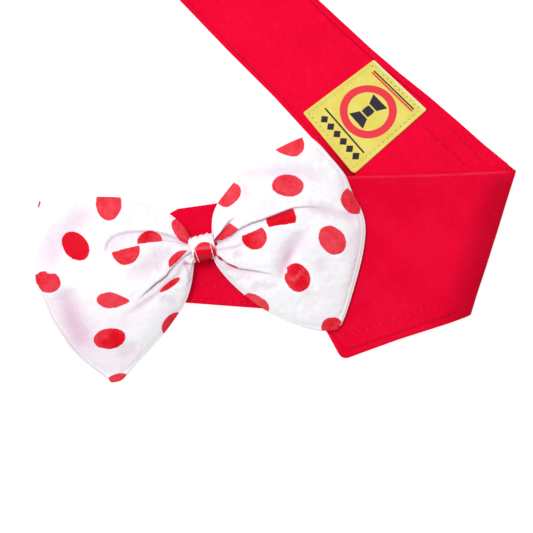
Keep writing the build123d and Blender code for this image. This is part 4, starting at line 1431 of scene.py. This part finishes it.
RIGHT_WING = {
    "top": [(-61.20, -47.52), (-61.28, -43.72), (-60.80, -39.52), (-58.92, -35.04),
            (-55.88, -30.92), (-52.48, -26.68), (-49.84, -23.92), (-47.80, -22.32),
            (-42.08, -17.92), (-36.04, -13.80), (-30.88, -11.12), (-26.08, -9.04),
            (-24.08, -8.36)],
    "outer": [(-24.08, -8.36), (-21.88, -8.72), (-18.32, -11.52), (-14.64, -15.64),
              (-11.00, -19.88), (-8.04, -23.80), (-5.16, -30.60), (-1.72, -37.24),
              (0.00, -43.88), (-0.40, -51.48), (-2.20, -60.52), (-4.80, -69.88),
              (-7.48, -78.48), (-9.24, -82.80), (-10.88, -85.44)],
    "foot": [(-60.76, -56.72), (-59.52, -59.52), (-56.60, -63.56), (-52.48, -67.92),
             (-47.80, -72.04), (-43.48, -75.40), (-38.96, -78.20), (-32.52, -81.32),
             (-26.68, -83.76), (-22.08, -85.08), (-18.44, -85.72), (-14.48, -85.96),
             (-10.88, -85.44)],
    "inner": [(-61.20, -47.52), (-61.04, -52.12), (-60.76, -56.72)],
    "dots": [
        (-29.12, -11.68, 4.88, 4.8, -174, 7.6, 0.30), (-30.96, -28.00, 6.36, 4.4, -3),
        (-54.56, -31.72, 5.52, 4.0, 44), (-4.32, -33.96, 5.84, 5.12, -50),
        (-13.12, -49.80, 6.36, 4.92, -50), (-43.28, -74.92, 5.6, 2.88, -34),
        (-13.16, -84.60, 4.36, 4.08), (-53.28, -59.96, 2.48, 0.36, -24),
        (-59.72, -51.24, 0.68, 0.8, -20), (-57.92, -57.08, 1.28, 0.52, -42)],
    "cut_dots": [
        ((-33.68, -40.92, 6.16, 5.68),
         [((-41.28, -41.64), (-28.48, -36.76), (-34.08, -43.72)),
          ((-38.88, -44.52), (-27.68, -42.84), (-34.08, -39.72))], None),
        (None,
         [((-60.04, -49.00), (-54.64, -43.08), (-54.08, -48.12)),
          ((-54.40, -42.76), (-50.48, -45.40), (-57.28, -47.32)),
          ((-50.48, -45.40), (-53.76, -48.08), (-57.28, -44.92)),
          ((-53.76, -48.08), (-57.04, -49.84), (-57.28, -45.72)),
          ((-57.04, -49.84), (-60.16, -50.24), (-57.28, -45.72))], None),
        ((-44.32, -48.76, 4.96, 4.88, -10),
         [((-49.88, -48.36), (-40.68, -44.52), (-44.08, -50.92))], None),
        ((-27.12, -64.76, 5.84, 4.96, -65), [], (-33.12, -61.80, 1.92, 1.76))],
    "pale": 0.65,
    "sheen_and_shade_spots": [
        (-33.68, -40.92, 7.2, -0.45), (-27.68, -61.72, 3.6, -0.20),
        (-25.28, -67.32, 4.4, 0.05), (-28.48, -65.56, 0.96, 0.80),
        (-27.12, -64.20, 0.96, 0.90), (-25.84, -62.84, 0.96, 0.80),
        (-24.72, -61.56, 0.88, 0.60), (-46.48, -49.72, 3.6, -0.20),
        (-46.48, -49.72, 3.2, 0.08), (-41.28, -48.92, 2.4, 0.60),
        (-4.48, -35.72, 3.6, 0.35), (-8.08, -32.52, 2.8, 0.60),
        (-13.28, -51.72, 5.6, 0.80), (-30.88, -26.12, 2.8, 0.40),
        (-30.08, -29.72, 3.6, 0.80), (-13.28, -83.72, 4.0, 0.20),
        (-55.68, -44.92, 2.4, 0.55), (-57.28, -48.52, 2.4, 0.30),
        (-43.28, -74.52, 4.8, 0.85), (-30.08, -12.52, 3.6, 0.75),
        (-26.08, -10.52, 2.4, 0.45), (-54.48, -30.52, 2.8, 0.80)],
    "valleys": [
        ((0.9, 2.8, 0.15, 0.3, 0.42),
         [(-52.48, -24.52), (-46.08, -22.72), (-39.28, -22.52), (-30.08, -22.52),
          (-22.88, -22.92), (-17.28, -24.52), (-10.88, -28.12)]),
        ((0.8, 1.7, 0.25, 0.35, 0.45),
         [(-48.88, -25.72), (-48.28, -28.52), (-47.68, -30.92), (-47.12, -34.12)]),
        ((0.8, 2.0, 0.3, 0.2, 0.60),
         [(-26.08, -36.92), (-20.00, -37.16), (-12.88, -38.52), (-8.08, -39.72),
          (-1.28, -41.32)]),
        ((0.5, 0.8, 0.0, 0.5, 0.25),
         [(-60.08, -51.12), (-55.68, -50.12), (-51.28, -48.68), (-46.32, -46.52),
          (-42.88, -45.52)]),
        ((0.6, 0.7, 0.0, 0.4, 0.5),
         [(-59.68, -53.92), (-55.68, -53.32), (-51.80, -52.80), (-47.96, -50.92),
          (-46.08, -49.52)]),
        ((1.4, 3.1, 0.35, 0.3, 0.62),
         [(-20.08, -44.12), (-23.28, -46.52), (-26.48, -49.72), (-29.28, -53.08),
          (-31.48, -56.92), (-33.08, -60.92), (-34.08, -64.52), (-34.28, -68.12)]),
        ((0.4, 1.4, 0.4, 0.4, 0.25),
         [(-44.88, -68.12), (-38.88, -68.92), (-32.48, -67.72)]),
        ((0.5, 2.8, 0.4, 0.4, 0.30),
         [(-19.68, -56.92), (-16.48, -60.12), (-15.28, -64.12)]),
        ((0.4, 1.6, 0.4, 0.4, 0.2),
         [(-41.28, -65.72), (-43.68, -69.72), (-45.28, -73.72)]),
        ((0.4, 1.2, 0.4, 0.4, 0.25),
         [(-52.48, -53.72), (-50.88, -56.12), (-47.68, -56.92)]),
        ((0.4, 2.6, 0.4, 0.4, 0.15),
         [(-26.08, -70.52), (-21.28, -73.72), (-15.68, -74.92)]),
        ((-0.4, 6.0, 0.3, 0.3, 0.0),
         [(-22.08, -44.12), (-18.88, -58.52), (-14.08, -70.52)])],
    "creases": [
        ((1.35, 1.8, 0.5, 3.6, 0.35, 0.0, 0.42, 0.72, 0.10, 0.30), (-30.08, -29.72),
         [(-60.68, -50.48), (-58.72, -50.28), (-56.80, -49.84), (-53.60, -48.12),
          (-51.84, -46.48), (-49.60, -44.76), (-45.68, -42.92), (-41.36, -41.56),
          (-36.08, -39.52), (-31.48, -37.72), (-28.20, -36.64), (-24.08, -36.24),
          (-20.00, -36.36), (-16.48, -36.92), (-12.88, -37.72)]),
        ((0.9, 1.8, 0.4, 3.0, 0.4, 0.15, 0.3, 0.0, 0.0, 0.0), (-32.08, -49.72),
         [(-50.88, -47.92), (-47.96, -47.04), (-43.68, -45.64), (-39.16, -44.40),
          (-33.68, -43.60), (-28.20, -42.84), (-23.28, -41.72)]),
        ((1.2, 1.9, 0.3, 2.0, 0.4, 0.0, 0.45, 0.5, 0.25, 0.0), (-59.68, -39.32),
         [(-59.68, -48.92), (-57.84, -46.76), (-56.48, -44.52), (-55.08, -42.64),
          (-53.16, -41.00), (-51.28, -39.32)]),
        ((1.2, 2.0, 0.4, 3.0, 0.35, 0.0, 0.45, 0.5, 0.40, 0.0), (-46.08, -55.72),
         [(-60.28, -54.52), (-58.36, -56.36), (-56.08, -58.12), (-54.00, -59.64),
          (-50.16, -61.04), (-44.68, -61.84), (-40.88, -62.52), (-37.00, -63.24),
          (-33.68, -64.12)])],
    "pink_shade_patches": [
        (-31.08, -56.52, 4.4, 1.52, 64, 0.58), (-33.68, -62.92, 2.8, 1.04, 76, 0.34),
        (-50.88, -62.12, 8.0, 2.4, -22, 0.30), (-5.28, -48.12, 3.2, 10.4, -2, 0.26),
        (-42.88, -66.52, 7.2, 3.2, -25, 0.03), (-14.08, -67.72, 5.6, 10.4, -15, 0.10),
        (-50.88, -53.72, 3.6, 2.8, 0, 0.14)],
    "into": (-3.2, -0.88),
    "hem": ([0, 0.22, 0.34, 0.6, 0.92, 1], [0, 0.1, 1.0, 1.0, 0.7, 0.1]),
    "low_z": 5.75, "outer_z": 6.9,
}


def dot_field(x, y, wing):
    """Distance inside the wing's dots, mm."""
    fields = [oval(x, y, *row) for row in wing["dots"]]
    for shape, cuts, bite in wing["cut_dots"]:
        parts = [half_plane(x, y, *cut) for cut in cuts]
        if shape:
            parts.append(oval(x, y, *shape))
        if bite:
            parts.append(-oval(x, y, *bite))
        fields.append(np.min(parts, 0))
    return np.max(fields, 0)


def plain_dots(x, y, shift):
    """The cloth's own staggered dots, for the faces that hang away."""
    pitch, radius = 21.6, 5.28
    across, down = pattern_xy(x, y)
    best = -12.0
    for k in range(2):
        u = (across + shift * 5.2 + k * pitch / 2) / pitch
        v = (down + shift * 2.8 + k * pitch / 2) / pitch
        distance = np.hypot(u - np.round(u), v - np.round(v)) * pitch
        best = np.maximum(best, radius - distance)
    return best


def dot_sheen_and_shade(x, y, wing):
    # painted sheen on the red dots; lower values are painted shade
    value = np.full(np.shape(x), wing["pale"])
    for spot_x, spot_y, radius, spot_value in wing["sheen_and_shade_spots"]:
        share = np.exp(-((x - spot_x) ** 2 + (y - spot_y) ** 2) / radius ** 2)
        value = value * (1 - share) + spot_value * share
    return value


def fade(place, start, end):
    """1 in the middle, to 0 over the first and the last share of a line."""
    value = np.ones_like(place)
    if start > 0:
        value = value * smooth(place / start)
    if end > 0:
        value = value * smooth((1 - place) / end)
    return value


def fold_fields(x, y, wing):
    """Height, painted dark shade lines, painted pink shade, and hold: how firmly the folds
    stay put.
    """
    height, dark, pink_shade, hold = [np.zeros_like(x) for _ in range(4)]
    for (depth, width, fade_in, fade_out, pink_shade_amount), line in wing["valleys"]:
        distance, _, place = nearest(x, y, line)
        strength = bell(distance, width) * fade(place, fade_in, fade_out)
        height = height - depth * strength
        pink_shade = pink_shade + pink_shade_amount * strength
        hold = np.maximum(hold, 0.5 * strength)
    for shape, high_point, line in wing["creases"]:
        (drop, low_width, lip, lip_width, soft, fade_in, fade_out, darkness, pink_shade_amount,
         start) = shape
        distance, side, place = nearest(x, y, line)
        high_side = nearest(*np.array(high_point)[:, None], line)[1][0]
        d = distance * np.where(side == high_side, 1.0, -1.0)
        strength = fade(place, fade_in, fade_out)
        # one side stays up with a lip, the other drops and recovers
        low = np.where(d < 0, np.exp(-(np.abs(d) / low_width) ** 1.5), 0.0) * strength
        raised = np.where(d >= 0, lip * bell(d, lip_width) * (1 - np.exp(-d / 0.4)), 0)
        height = height - drop * low * smooth(-d / soft) + raised * strength
        # painted shade: a dark line along the crease
        line_dark = bell(d, 0.32, -0.25) * strength * darkness
        if start:
            line_dark = line_dark * smooth((place - start * 0.3) / start)
        dark = dark + line_dark
        pink_shade = pink_shade + pink_shade_amount * low
        hold = np.maximum(hold, bell(distance, 1.6))
    # patches of painted pink shade
    for centre_x, centre_y, radius, across, turn, amount in wing["pink_shade_patches"]:
        u, v = turned(x, y, centre_x, centre_y, turn)
        pink_shade = pink_shade + amount * np.exp(-(u / radius) ** 2 - (v / across) ** 2)
    return height, np.clip(dark, 0, 1), np.clip(pink_shade, 0, 1.2), hold


def stretch(grid, shape):
    """A grid of vectors stretched to a finer grid of the same outline."""
    rows, columns = grid.shape[:2]
    i = np.linspace(0, rows - 1, shape[0])
    j = np.linspace(0, columns - 1, shape[1])
    i0 = np.minimum(np.floor(i).astype(int), rows - 2)
    j0 = np.minimum(np.floor(j).astype(int), columns - 2)
    u, v = (i - i0)[:, None, None], (j - j0)[None, :, None]
    near = grid[i0][:, j0] * (1 - v) + grid[i0][:, j0 + 1] * v
    far = grid[i0 + 1][:, j0] * (1 - v) + grid[i0 + 1][:, j0 + 1] * v
    return near * (1 - u) + far * u


def blur(grid):
    padded = np.pad(grid, ((1, 1), (1, 1), (0, 0)), mode="edge")
    return (4 * grid + padded[2:, 1:-1] + padded[:-2, 1:-1] + padded[1:-1, 2:]
            + padded[1:-1, :-2]) / 8


def cloth_relax(name, top, bottom, hold):
    """Blows the stuffed cloth up with a cloth simulation and returns how
    far each point of its two faces moved, never more than cap."""
    cap, frames, coarseness = 0.0011, 20, 2
    scale = 10.0            # the solver's defaults suit this size
    shape = top.shape[:2]
    pick_i, pick_j = [np.round(np.linspace(0, size - 1, max(8, size // coarseness)))
                      .astype(int) for size in shape]
    rows, columns = len(pick_i), len(pick_j)
    count = rows * columns
    border = border_index(rows, columns)
    following = np.roll(border, -1)
    faces = np.concatenate([
        grid_faces(rows, columns), grid_faces(rows, columns, count, True),
        np.stack([border, border + count, following + count, following], 1)])
    verts = np.concatenate([face[pick_i][:, pick_j].reshape(-1, 3)
                            for face in (top, bottom)])
    cloth = make(name, verts * scale, faces)
    pin = cloth.vertex_groups.new(name="pin")
    weights = np.tile(hold[pick_i][:, pick_j].ravel(), 2)
    weights[border] = 1.0
    weights[border + count] = 1.0
    for i, weight in enumerate(weights):
        pin.add([i], float(min(1.0, weight)), "REPLACE")
    modifier = cloth.modifiers.new("cloth", "CLOTH")
    settings = modifier.settings
    for key, value in {
            "quality": 5, "mass": 0.15, "tension_stiffness": 12,
            "compression_stiffness": 8, "shear_stiffness": 4,
            "bending_stiffness": 0.25, "air_damping": 2.0, "use_pressure": True,
            "uniform_pressure_force": 3.0, "vertex_group_mass": "pin",
            "shrink_min": -0.035, "shrink_max": -0.035}.items():
        setattr(settings, key, value)
    settings.effector_weights.gravity = 0.0
    modifier.collision_settings.use_collision = False
    modifier.collision_settings.use_self_collision = False
    modifier.point_cache.frame_start = 1
    modifier.point_cache.frame_end = frames
    scene = bpy.context.scene
    for number in range(1, frames + 1):
        scene.frame_set(number)
    mesh = cloth.evaluated_get(bpy.context.evaluated_depsgraph_get()).data
    moved = np.empty(len(mesh.vertices) * 3)
    mesh.vertices.foreach_get("co", moved)
    moved = (moved.reshape(-1, 3) - verts * scale) / scale
    scene.frame_set(1)
    bpy.data.objects.remove(cloth, do_unlink=True)
    moved = moved * (cap / (cap + np.linalg.norm(moved, axis=1)))[:, None]
    return [stretch(blur(part.reshape(rows, columns, 3)), shape)
            for part in (moved[:count], moved[count:])]


# edge between the two faces: outward, share of the way down, painted shade in the groove
WING_RIM = [(0.00022, 0.08, 0.0), (0.00034, 0.20, 0.0), (0.00030, 0.34, 0.0),
            (0.00008, 0.44, 0.42), (0.00008, 0.52, 0.30), (0.00038, 0.62, 0.0),
            (0.00050, 0.76, 0.0), (0.00036, 0.90, 0.0)]


def build_wing(side, wing, dot_shift):
    """One wing of the bow: two faces of cloth that meet in a turned edge,
    puffed up and gathered at the knot. Heights here are in mm."""
    rows, columns, neck_rows = 190, 210, 12
    plan = patch_grid((wing["top"], wing["outer"], wing["foot"], wing["inner"]),
                      0.4, rows, columns, curved=True)
    # rows that run on into the knot, narrowing
    depth = np.arange(neck_rows, 0, -1) / neck_rows
    centre = plan[0].mean(0)
    t = depth[:, None, None]
    neck = centre + (plan[0] - centre) * (1 - 0.34 * smooth(t)) + np.array(wing["into"]) * t
    plan = np.concatenate([neck, plan])
    u, v = np.meshgrid(np.concatenate([-depth * 0.06, np.linspace(0, 1, rows)]),
                       np.linspace(0, 1, columns), indexing="ij")
    w = 2 * v - 1
    out = np.clip(u, 0, 1)

    # the lower face runs out past the upper one along part of the edge
    gap = np.interp(v[0], *wing["hem"]) * (1 + 0.25 * noise(v[0] * 40, 0.3, 5.0, 61))
    inward = unit(plan[-8] - plan[-1])
    pull = smooth((u - 0.90) / 0.10)[..., None]
    top_plan = plan + inward[None, :, :] * gap[None, :, None] * pull
    x, y = top_plan[..., 0], top_plan[..., 1]
    across, down = pattern_xy(x, y)

    # the edge sinks from the middle of the knot to its resting height
    throat_z = KNOT_Z * 1000 - 0.3
    shoulder_z = wing["outer_z"] + 0.9
    edge_z = shoulder_z + (throat_z - shoulder_z) * (1 - smooth(out / 0.30)) \
        - 0.9 * smooth((out - 0.4) / 0.6)
    cross = np.power(np.clip(1 - np.abs(w) ** 2.3, 0, 1), 0.62)
    end = np.power(np.clip(1 - out ** 5.0, 0, 1), 0.62)
    puff = 8.0 * cross * end * (0.46 + 0.54 * smooth(out / 0.42)) \
        * (1 - 0.16 * smooth((out - 0.55) / 0.45))
    folds, dark, pink_shade, hold = fold_fields(x, y, wing)
    inner = np.power(np.clip(1 - np.abs(w) ** 6, 0, 1), 0.8) \
        * np.power(np.clip(1 - out ** 14, 0, 1), 0.8)
    # gathers that fan out of the knot: frequency, phase, amount, reach
    gathers = sum(amount * np.sin(w * math.pi * frequency * 0.5 + phase + 0.8 * w * w)
                  * np.exp(-out / reach)
                  for frequency, phase, amount, reach in (
                      (5.0, 0.4, 0.50, 0.13), (9.0, 1.9, 0.28, 0.08),
                      (3.0, 4.0, 0.30, 0.22)))
    fine = (0.14 * noise(across + 16, down * 1.4, 6.8, 31)
            + 0.08 * noise(across * 1.2, down, 3.2, 32)
            + 0.04 * noise(across, down, 1.72, 33))
    top_z = edge_z + puff + (folds + gathers * 0.8 + fine) * inner
    # the lower face: flatter, with its own centre pleat and gathers
    sag = 2.9 * np.power(np.clip(1 - np.abs(w) ** 3, 0, 1), 0.7) * end \
        * (0.95 + 0.3 * (1 - smooth(out / 0.3)))
    pleat = -0.9 * bell(w, 0.16) * (1 - smooth(out / 0.8))
    low_gathers = sum(amount * np.sin(w * math.pi * frequency + phase)
                      * np.exp(-out / reach)
                      for frequency, phase, amount, reach in (
                          (3.5, 1.0, 0.6, 0.16), (6.0, 2.0, 0.3, 0.09)))
    bottom_z = edge_z - sag - (pleat - low_gathers * 0.6
                               + 0.3 * noise(across + 4.4, down + 2, 10.4, 41)) * inner
    bottom_z = np.maximum(bottom_z, wing["low_z"])
    # keep the two faces a cloth edge apart at their border
    tight = (top_z - bottom_z) < 1.0
    mid_z = (top_z + bottom_z) / 2
    top_z = np.where(tight, mid_z + 0.5, top_z)
    bottom_z = np.where(tight, mid_z - 0.5, bottom_z)
    top = np.dstack([placed(top_plan, top_z * MM), top_z * MM])
    bottom = np.dstack([placed(plan, edge_z * MM), bottom_z * MM])

    hold = np.maximum(np.clip(hold, 0, 1), (u < 0.05) * 1.0)
    top_move, bottom_move = cloth_relax(side + "_relax", top, bottom, hold)
    calm = (smooth((out - 0.01) / 0.06) * smooth((1 - out) / 0.03)
            * smooth((1 - np.abs(w)) / 0.05))[..., None]
    top = top + top_move * calm
    bottom = bottom + bottom_move * calm
    bottom[..., 2] = np.maximum(bottom[..., 2], wing["low_z"] * MM)

    x, y = np.moveaxis(seen(top[..., :2], top[..., 2]), -1, 0)
    top_dots = dot_field(x, y, wing) + 0.16 * noise(*pattern_xy(x, y), 2.6, 81)
    below = (bottom[..., :2] - LABEL_MID) / MM
    border = np.minimum((1 - np.abs(w)) * 30.0, np.where(u > 0.5, 1 - u, 1) * 50.0)
    bottom_dots = np.minimum(plain_dots(below[..., 0], below[..., 1], dot_shift),
                             border - 0.9)
    bottom_dots[:, 0], bottom_dots[:, -1] = top_dots[:, 0], top_dots[:, -1]
    bottom_dots[-1] = np.where(gap < 0.2, top_dots[-1], bottom_dots[-1])
    coords = top * np.array([1.0, 1.0, 0.3])
    cloth = sheet_solid(f"{side}_wing_cloth", top[..., :2], top[..., 2], bottom[..., 2],
                        WING_RIM,
                        {"wc": (coords, coords + np.array([0.0, 0.0, 0.05])),
                         "dot": (top_dots, bottom_dots), "dark_shade": (dark, 0.0),
                         "pink_shade": (pink_shade, 0.05), "lift": (dot_sheen_and_shade(x, y, wing), 0.5)},
                        DOTS, bottom[..., :2])
    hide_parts(f"{side}_wing_front_panel", f"{side}_wing_back_panel",
                f"{side}_wing_wadding")
    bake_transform(cloth)


# ---------------------------------------------------------------------- knot
# The wrap runs round the bow's axis, which is turned up from x.
BOW_MID = np.array(JOINTS["bow_tilt"]["pos_m"])[:2]
BOW_ALONG = np.array([math.cos(math.radians(15.0)), math.sin(math.radians(15.0))])
BOW_ACROSS = left_of(BOW_ALONG)
KNOT_HALF_LENGTH, KNOT_HALF_WIDTH = 0.0050, 0.0054
KNOT_HALF_HEIGHT = (KNOT_TOP - KNOT_LOW) / 2
KNOT_SQUARENESS = 2.6             # exponent of the wrap's rounded section
KNOT_SHIFT = 0.00045              # the wrap sits a little low on the bow


def knot_crown(along):
    """The wrap narrows a little towards its ends."""
    return 1.0 - 0.075 * (along / KNOT_HALF_LENGTH) ** 4


def knot_plan(along, across):
    squeeze = 0.955 if across > 0 else 0.88
    return BOW_MID + BOW_ALONG * along + BOW_ACROSS * (across * squeeze - KNOT_SHIFT)


def build_knot():
    steps, section = 168, 44
    thickness = 0.0013
    verts = []
    attrs = {key: [] for key in ("wc", "dot", "dark_shade", "pink_shade", "lift")}
    for i in range(steps):
        a = 2 * math.pi * i / steps
        cos_a, sin_a = math.cos(a), math.sin(a)
        square = (abs(cos_a) ** KNOT_SQUARENESS
                  + abs(sin_a) ** KNOT_SQUARENESS) ** (-1 / KNOT_SQUARENESS)
        for j in range(section):
            b = 2 * math.pi * j / section
            # section of the wrap: flat band, rounded at its edges
            cos_b, sin_b = math.cos(b), math.sin(b)
            boxed = (abs(cos_b) ** 4 + abs(sin_b) ** 4) ** (-1 / 4)
            along = cos_b * boxed * KNOT_HALF_LENGTH * (0.97 + 0.05 * cos_a)
            outside = sin_b * boxed         # -1 inside, 1 outside
            crown = knot_crown(along)
            ripple = (1.0 + 1.4 * max(0.0, cos_a) ** 2) * (
                0.00013 * math.sin(along * 2700 + 1.2 * math.sin(a * 2))
                + 0.00007 * math.sin(along * 4600 + a * 3.0))
            ripple += 0.00010 * float(noise(a * 4.0, along * 900, 1.0, 51))
            rise = (outside - 1) / 2 * thickness + (ripple if outside > 0 else 0.0)
            across = (KNOT_HALF_WIDTH * crown) * square * cos_a + rise * cos_a
            z = (KNOT_HALF_HEIGHT * crown) * square * sin_a + rise * sin_a
            plan = knot_plan(along, across)
            verts.append((*plan, KNOT_Z + z))
            x, y = (float(value) for value in seen(plan, KNOT_Z + z))
            if sin_a > -0.15 and outside > 0:
                dot = float(oval(x, y, -64.00, -55.48, 4.56, 5.04, turn=8))
            elif outside > 0:
                dot = float(plain_dots(x + 3.6, y - z * 800, 3.0))
            else:
                dot = -3.0
            # painted shade on the lower part of the dot and a painted highlight band
            # across its upper part; painted pink shade at the wrap's ends, along a crease
            # and on its upper white part
            low = float(smooth((-54.52 - y) / 2.8) * (sin_a > -0.3)) * (dot > -0.2)
            fold = bell(along * 1000, 0.35, -1.1) * 0.25
            edge = abs(along) / KNOT_HALF_LENGTH
            upper = (cos_a > 0.15) * float(smooth((y + 51.12) / 1.6))
            band = bell(-52.88 - y + (x + 64.08) * 0.14, 0.5)
            attrs["wc"].append((along, a * 0.0055, 0.0))
            attrs["dot"].append(dot)
            attrs["dark_shade"].append(0.20 * low)
            attrs["pink_shade"].append(0.25 * max(0.0, edge - 0.8) / 0.2 + fold
                                 + 0.16 * upper + 0.8 * low)
            attrs["lift"].append(0.35 + 1.25 * band
                                 - float(smooth((-53.24 - y) / 1.04)))
    faces = []
    for i in range(steps):
        for j in range(section):
            here, beyond = i * section, (i + 1) % steps * section
            j2 = (j + 1) % section
            faces.append((here + j, here + j2, beyond + j2, beyond + j))
    wrap = make_dressed("knot_wrap_cloth", verts, faces, DOTS, attrs)
    attach(wrap, "bow_knot", "knot_wrap", "gather_core", "gathering_thread")


def knot_top(along, across):
    """Height of the wrap's outside."""
    crown = knot_crown(along)
    share = min(0.999, abs(across) / (KNOT_HALF_WIDTH * crown))
    return KNOT_Z + KNOT_HALF_HEIGHT * crown \
        * (1 - share ** KNOT_SQUARENESS) ** (1 / KNOT_SQUARENESS)


def build_knot_threads():
    """A row of five stitches near each end of the wrap."""
    rings, around = 8, 8
    length, pitch, first = 0.00203, 0.0021, 0.0046
    verts, faces = [], []
    for row, lean in ((-0.0036, 0.0006), (0.0034, -0.0002)):
        for number in range(5):
            tube = []
            for i in range(rings):
                t = i / (rings - 1)
                across = first - number * pitch - t * length
                along = row + lean * (0.5 - across / 0.009)
                z = knot_top(along, across)
                dive = (1 - (2 * t - 1) ** 4) * 0.00026 - 0.00010
                radius = 0.00015 * (0.8 + 0.25 * (1 - (2 * t - 1) ** 2))
                slope = (knot_top(along, across + 1e-5)
                         - knot_top(along, across - 1e-5)) / 2e-5
                normal = unit(np.array([-slope, 1.0]))
                ring = []
                for j in range(around):
                    angle = 2 * math.pi * j / around
                    offset = dive + math.sin(angle) * radius
                    point = knot_plan(along + math.cos(angle) * radius,
                                      across + normal[0] * offset)
                    ring.append((*point, z + normal[1] * offset))
                tube.append(ring)
            add_tube(verts, faces, tube)
    thread = make_dressed("knot_edge_thread", verts, faces, WHITE_THREAD)
    attach(thread, "bow_knot", "knot_edge_stitching")


def build_tacks():
    """Upright stitches between the knot and the front."""
    rings, around, radius = 7, 8, 0.0002
    low, high = FRONT_TOP - 0.0002, KNOT_LOW + 0.0009
    verts, faces = [], []
    for along in (-2.4, 2.4):
        for across in (-1.8, 0.0, 1.8):
            tube = []
            for i in range(rings):
                t = i / (rings - 1)
                centre = BOW_MID + BOW_ACROSS * across * MM \
                    + BOW_ALONG * (along * MM + 0.0002 * math.sin(t * 3.1))
                angles = [2 * math.pi * j / around for j in range(around)]
                tube.append([(centre[0] + radius * math.cos(a),
                              centre[1] + radius * math.sin(a), low + (high - low) * t)
                             for a in angles])
            add_tube(verts, faces, tube)
    thread = make_dressed("tack_thread", verts, faces, WHITE_THREAD)
    attach(thread, "bow_knot", "bow_tack_stitches")


# ===================================================================== STAGE
LIGHT_TARGET = Vector((-0.0393, -0.0613, 0.005))


def build_floor():
    half = 3.0
    mesh = bpy.data.meshes.new("floor")
    mesh.from_pydata([(-half, -half, 0), (half, -half, 0), (half, half, 0),
                      (-half, half, 0)], [], [(0, 1, 2, 3)])
    floor = bpy.data.objects.new("floor", mesh)
    floor.location = (0, 0, CAD_BOX[0][2] - 0.0002)
    bpy.context.scene.collection.objects.link(floor)
    s = Shader("studio_floor")
    s.surface((0.30, 0.30, 0.30), Roughness=0.9, Specular_IOR_Level=0.0,
              Emission_Color=(1.0, 1.0, 1.0), Emission_Strength=0.84)
    mesh.materials.append(s.material)
    floor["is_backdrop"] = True


def build_world():
    """White world, brighter to the camera than as a light."""
    world = bpy.data.worlds.new("studio")
    bpy.context.scene.world = world
    world.use_nodes = True
    tree = world.node_tree
    lighting = tree.nodes["Background"]
    fill(tree, lighting, {0: (1.0, 1.0, 1.0), 1: 0.62})
    backdrop = tree.nodes.new("ShaderNodeBackground")
    fill(tree, backdrop, {0: (1.0, 1.0, 1.0), 1: 1.0})
    path = tree.nodes.new("ShaderNodeLightPath")
    chosen = tree.nodes.new("ShaderNodeMixShader")
    fill(tree, chosen, {0: path.outputs["Is Camera Ray"], 1: lighting.outputs[0],
                        2: backdrop.outputs[0]})
    fill(tree, tree.nodes["World Output"], {"Surface": chosen.outputs[0]})


def add_light(name, offset, size, power):
    """Disk light at an offset from the target, turned to face it."""
    light = bpy.data.lights.new(name, "AREA")
    light.shape = "DISK"
    light.size = size
    light.energy = power
    lamp = bpy.data.objects.new(name, light)
    lamp.location = LIGHT_TARGET + Vector(offset)
    lamp.rotation_mode = "QUATERNION"
    lamp.rotation_quaternion = (-Vector(offset)).to_track_quat("-Z", "Y")
    bpy.context.scene.collection.objects.link(lamp)


def build_camera():
    """Camera that looks straight down."""
    scene = bpy.context.scene
    scene.view_settings.view_transform = "Standard"
    scene.view_settings.look = "None"
    scene.view_settings.exposure = 0.0
    scene.view_settings.gamma = 1.0
    data = bpy.data.cameras.new("camera")
    data.sensor_width = SENSOR
    data.lens = LENS
    data.clip_start, data.clip_end = 0.05, 20
    camera = bpy.data.objects.new("camera", data)
    x, y = from_label(VIEW_MID)
    camera.location = (float(x), float(y), CAMERA_FAR + VIEW_PLANE)
    scene.collection.objects.link(camera)
    scene.camera = camera


# ===================================================================== BUILD
build_back_band()
build_rolled_edge()
build_leaf()
build_stand()
build_fold_bend()
build_label()
build_tail_thread()
build_tape("hook", [on_tail(24, -12.5), on_tail(24, 12.5), on_tail(49, 12.5),
                    on_tail(49, -12.5)],
           radii=(0.002, 0.002, 0.006, 0.006), drop=0.00008, body="tail_tab",
           finish=HOOK_TAPE, middle=on_tail(36.5, 0), u=TAIL_OUT, w=BEND_ALONG,
           pitch=0.00105)
build_tape("loop", metres([(-100.5, -47.0), (-100.5, -63.5), (-80.5, -64.8),
                           (-80.5, -43.4)]),
           radii=(0.004, 0.004, 0.002, 0.002), drop=0.0001, body="collar_front",
           finish=LOOP_TAPE, middle=metres((-90.5, -54.5)), u=np.array([1.0, 0.0]),
           w=np.array([0.0, 1.0]), pitch=0.00085)
build_wing("left", LEFT_WING, dot_shift=1.0)
build_wing("right", RIGHT_WING, dot_shift=2.0)
build_knot()
build_knot_threads()
build_tacks()
build_floor()
build_world()
add_light("key", offset=(-0.30, 0.34, 1.05), size=0.42, power=6.7)
add_light("side", offset=(-0.85, 0.5, 0.55), size=0.5, power=1.1)
build_camera()

low_corner, high_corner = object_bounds()
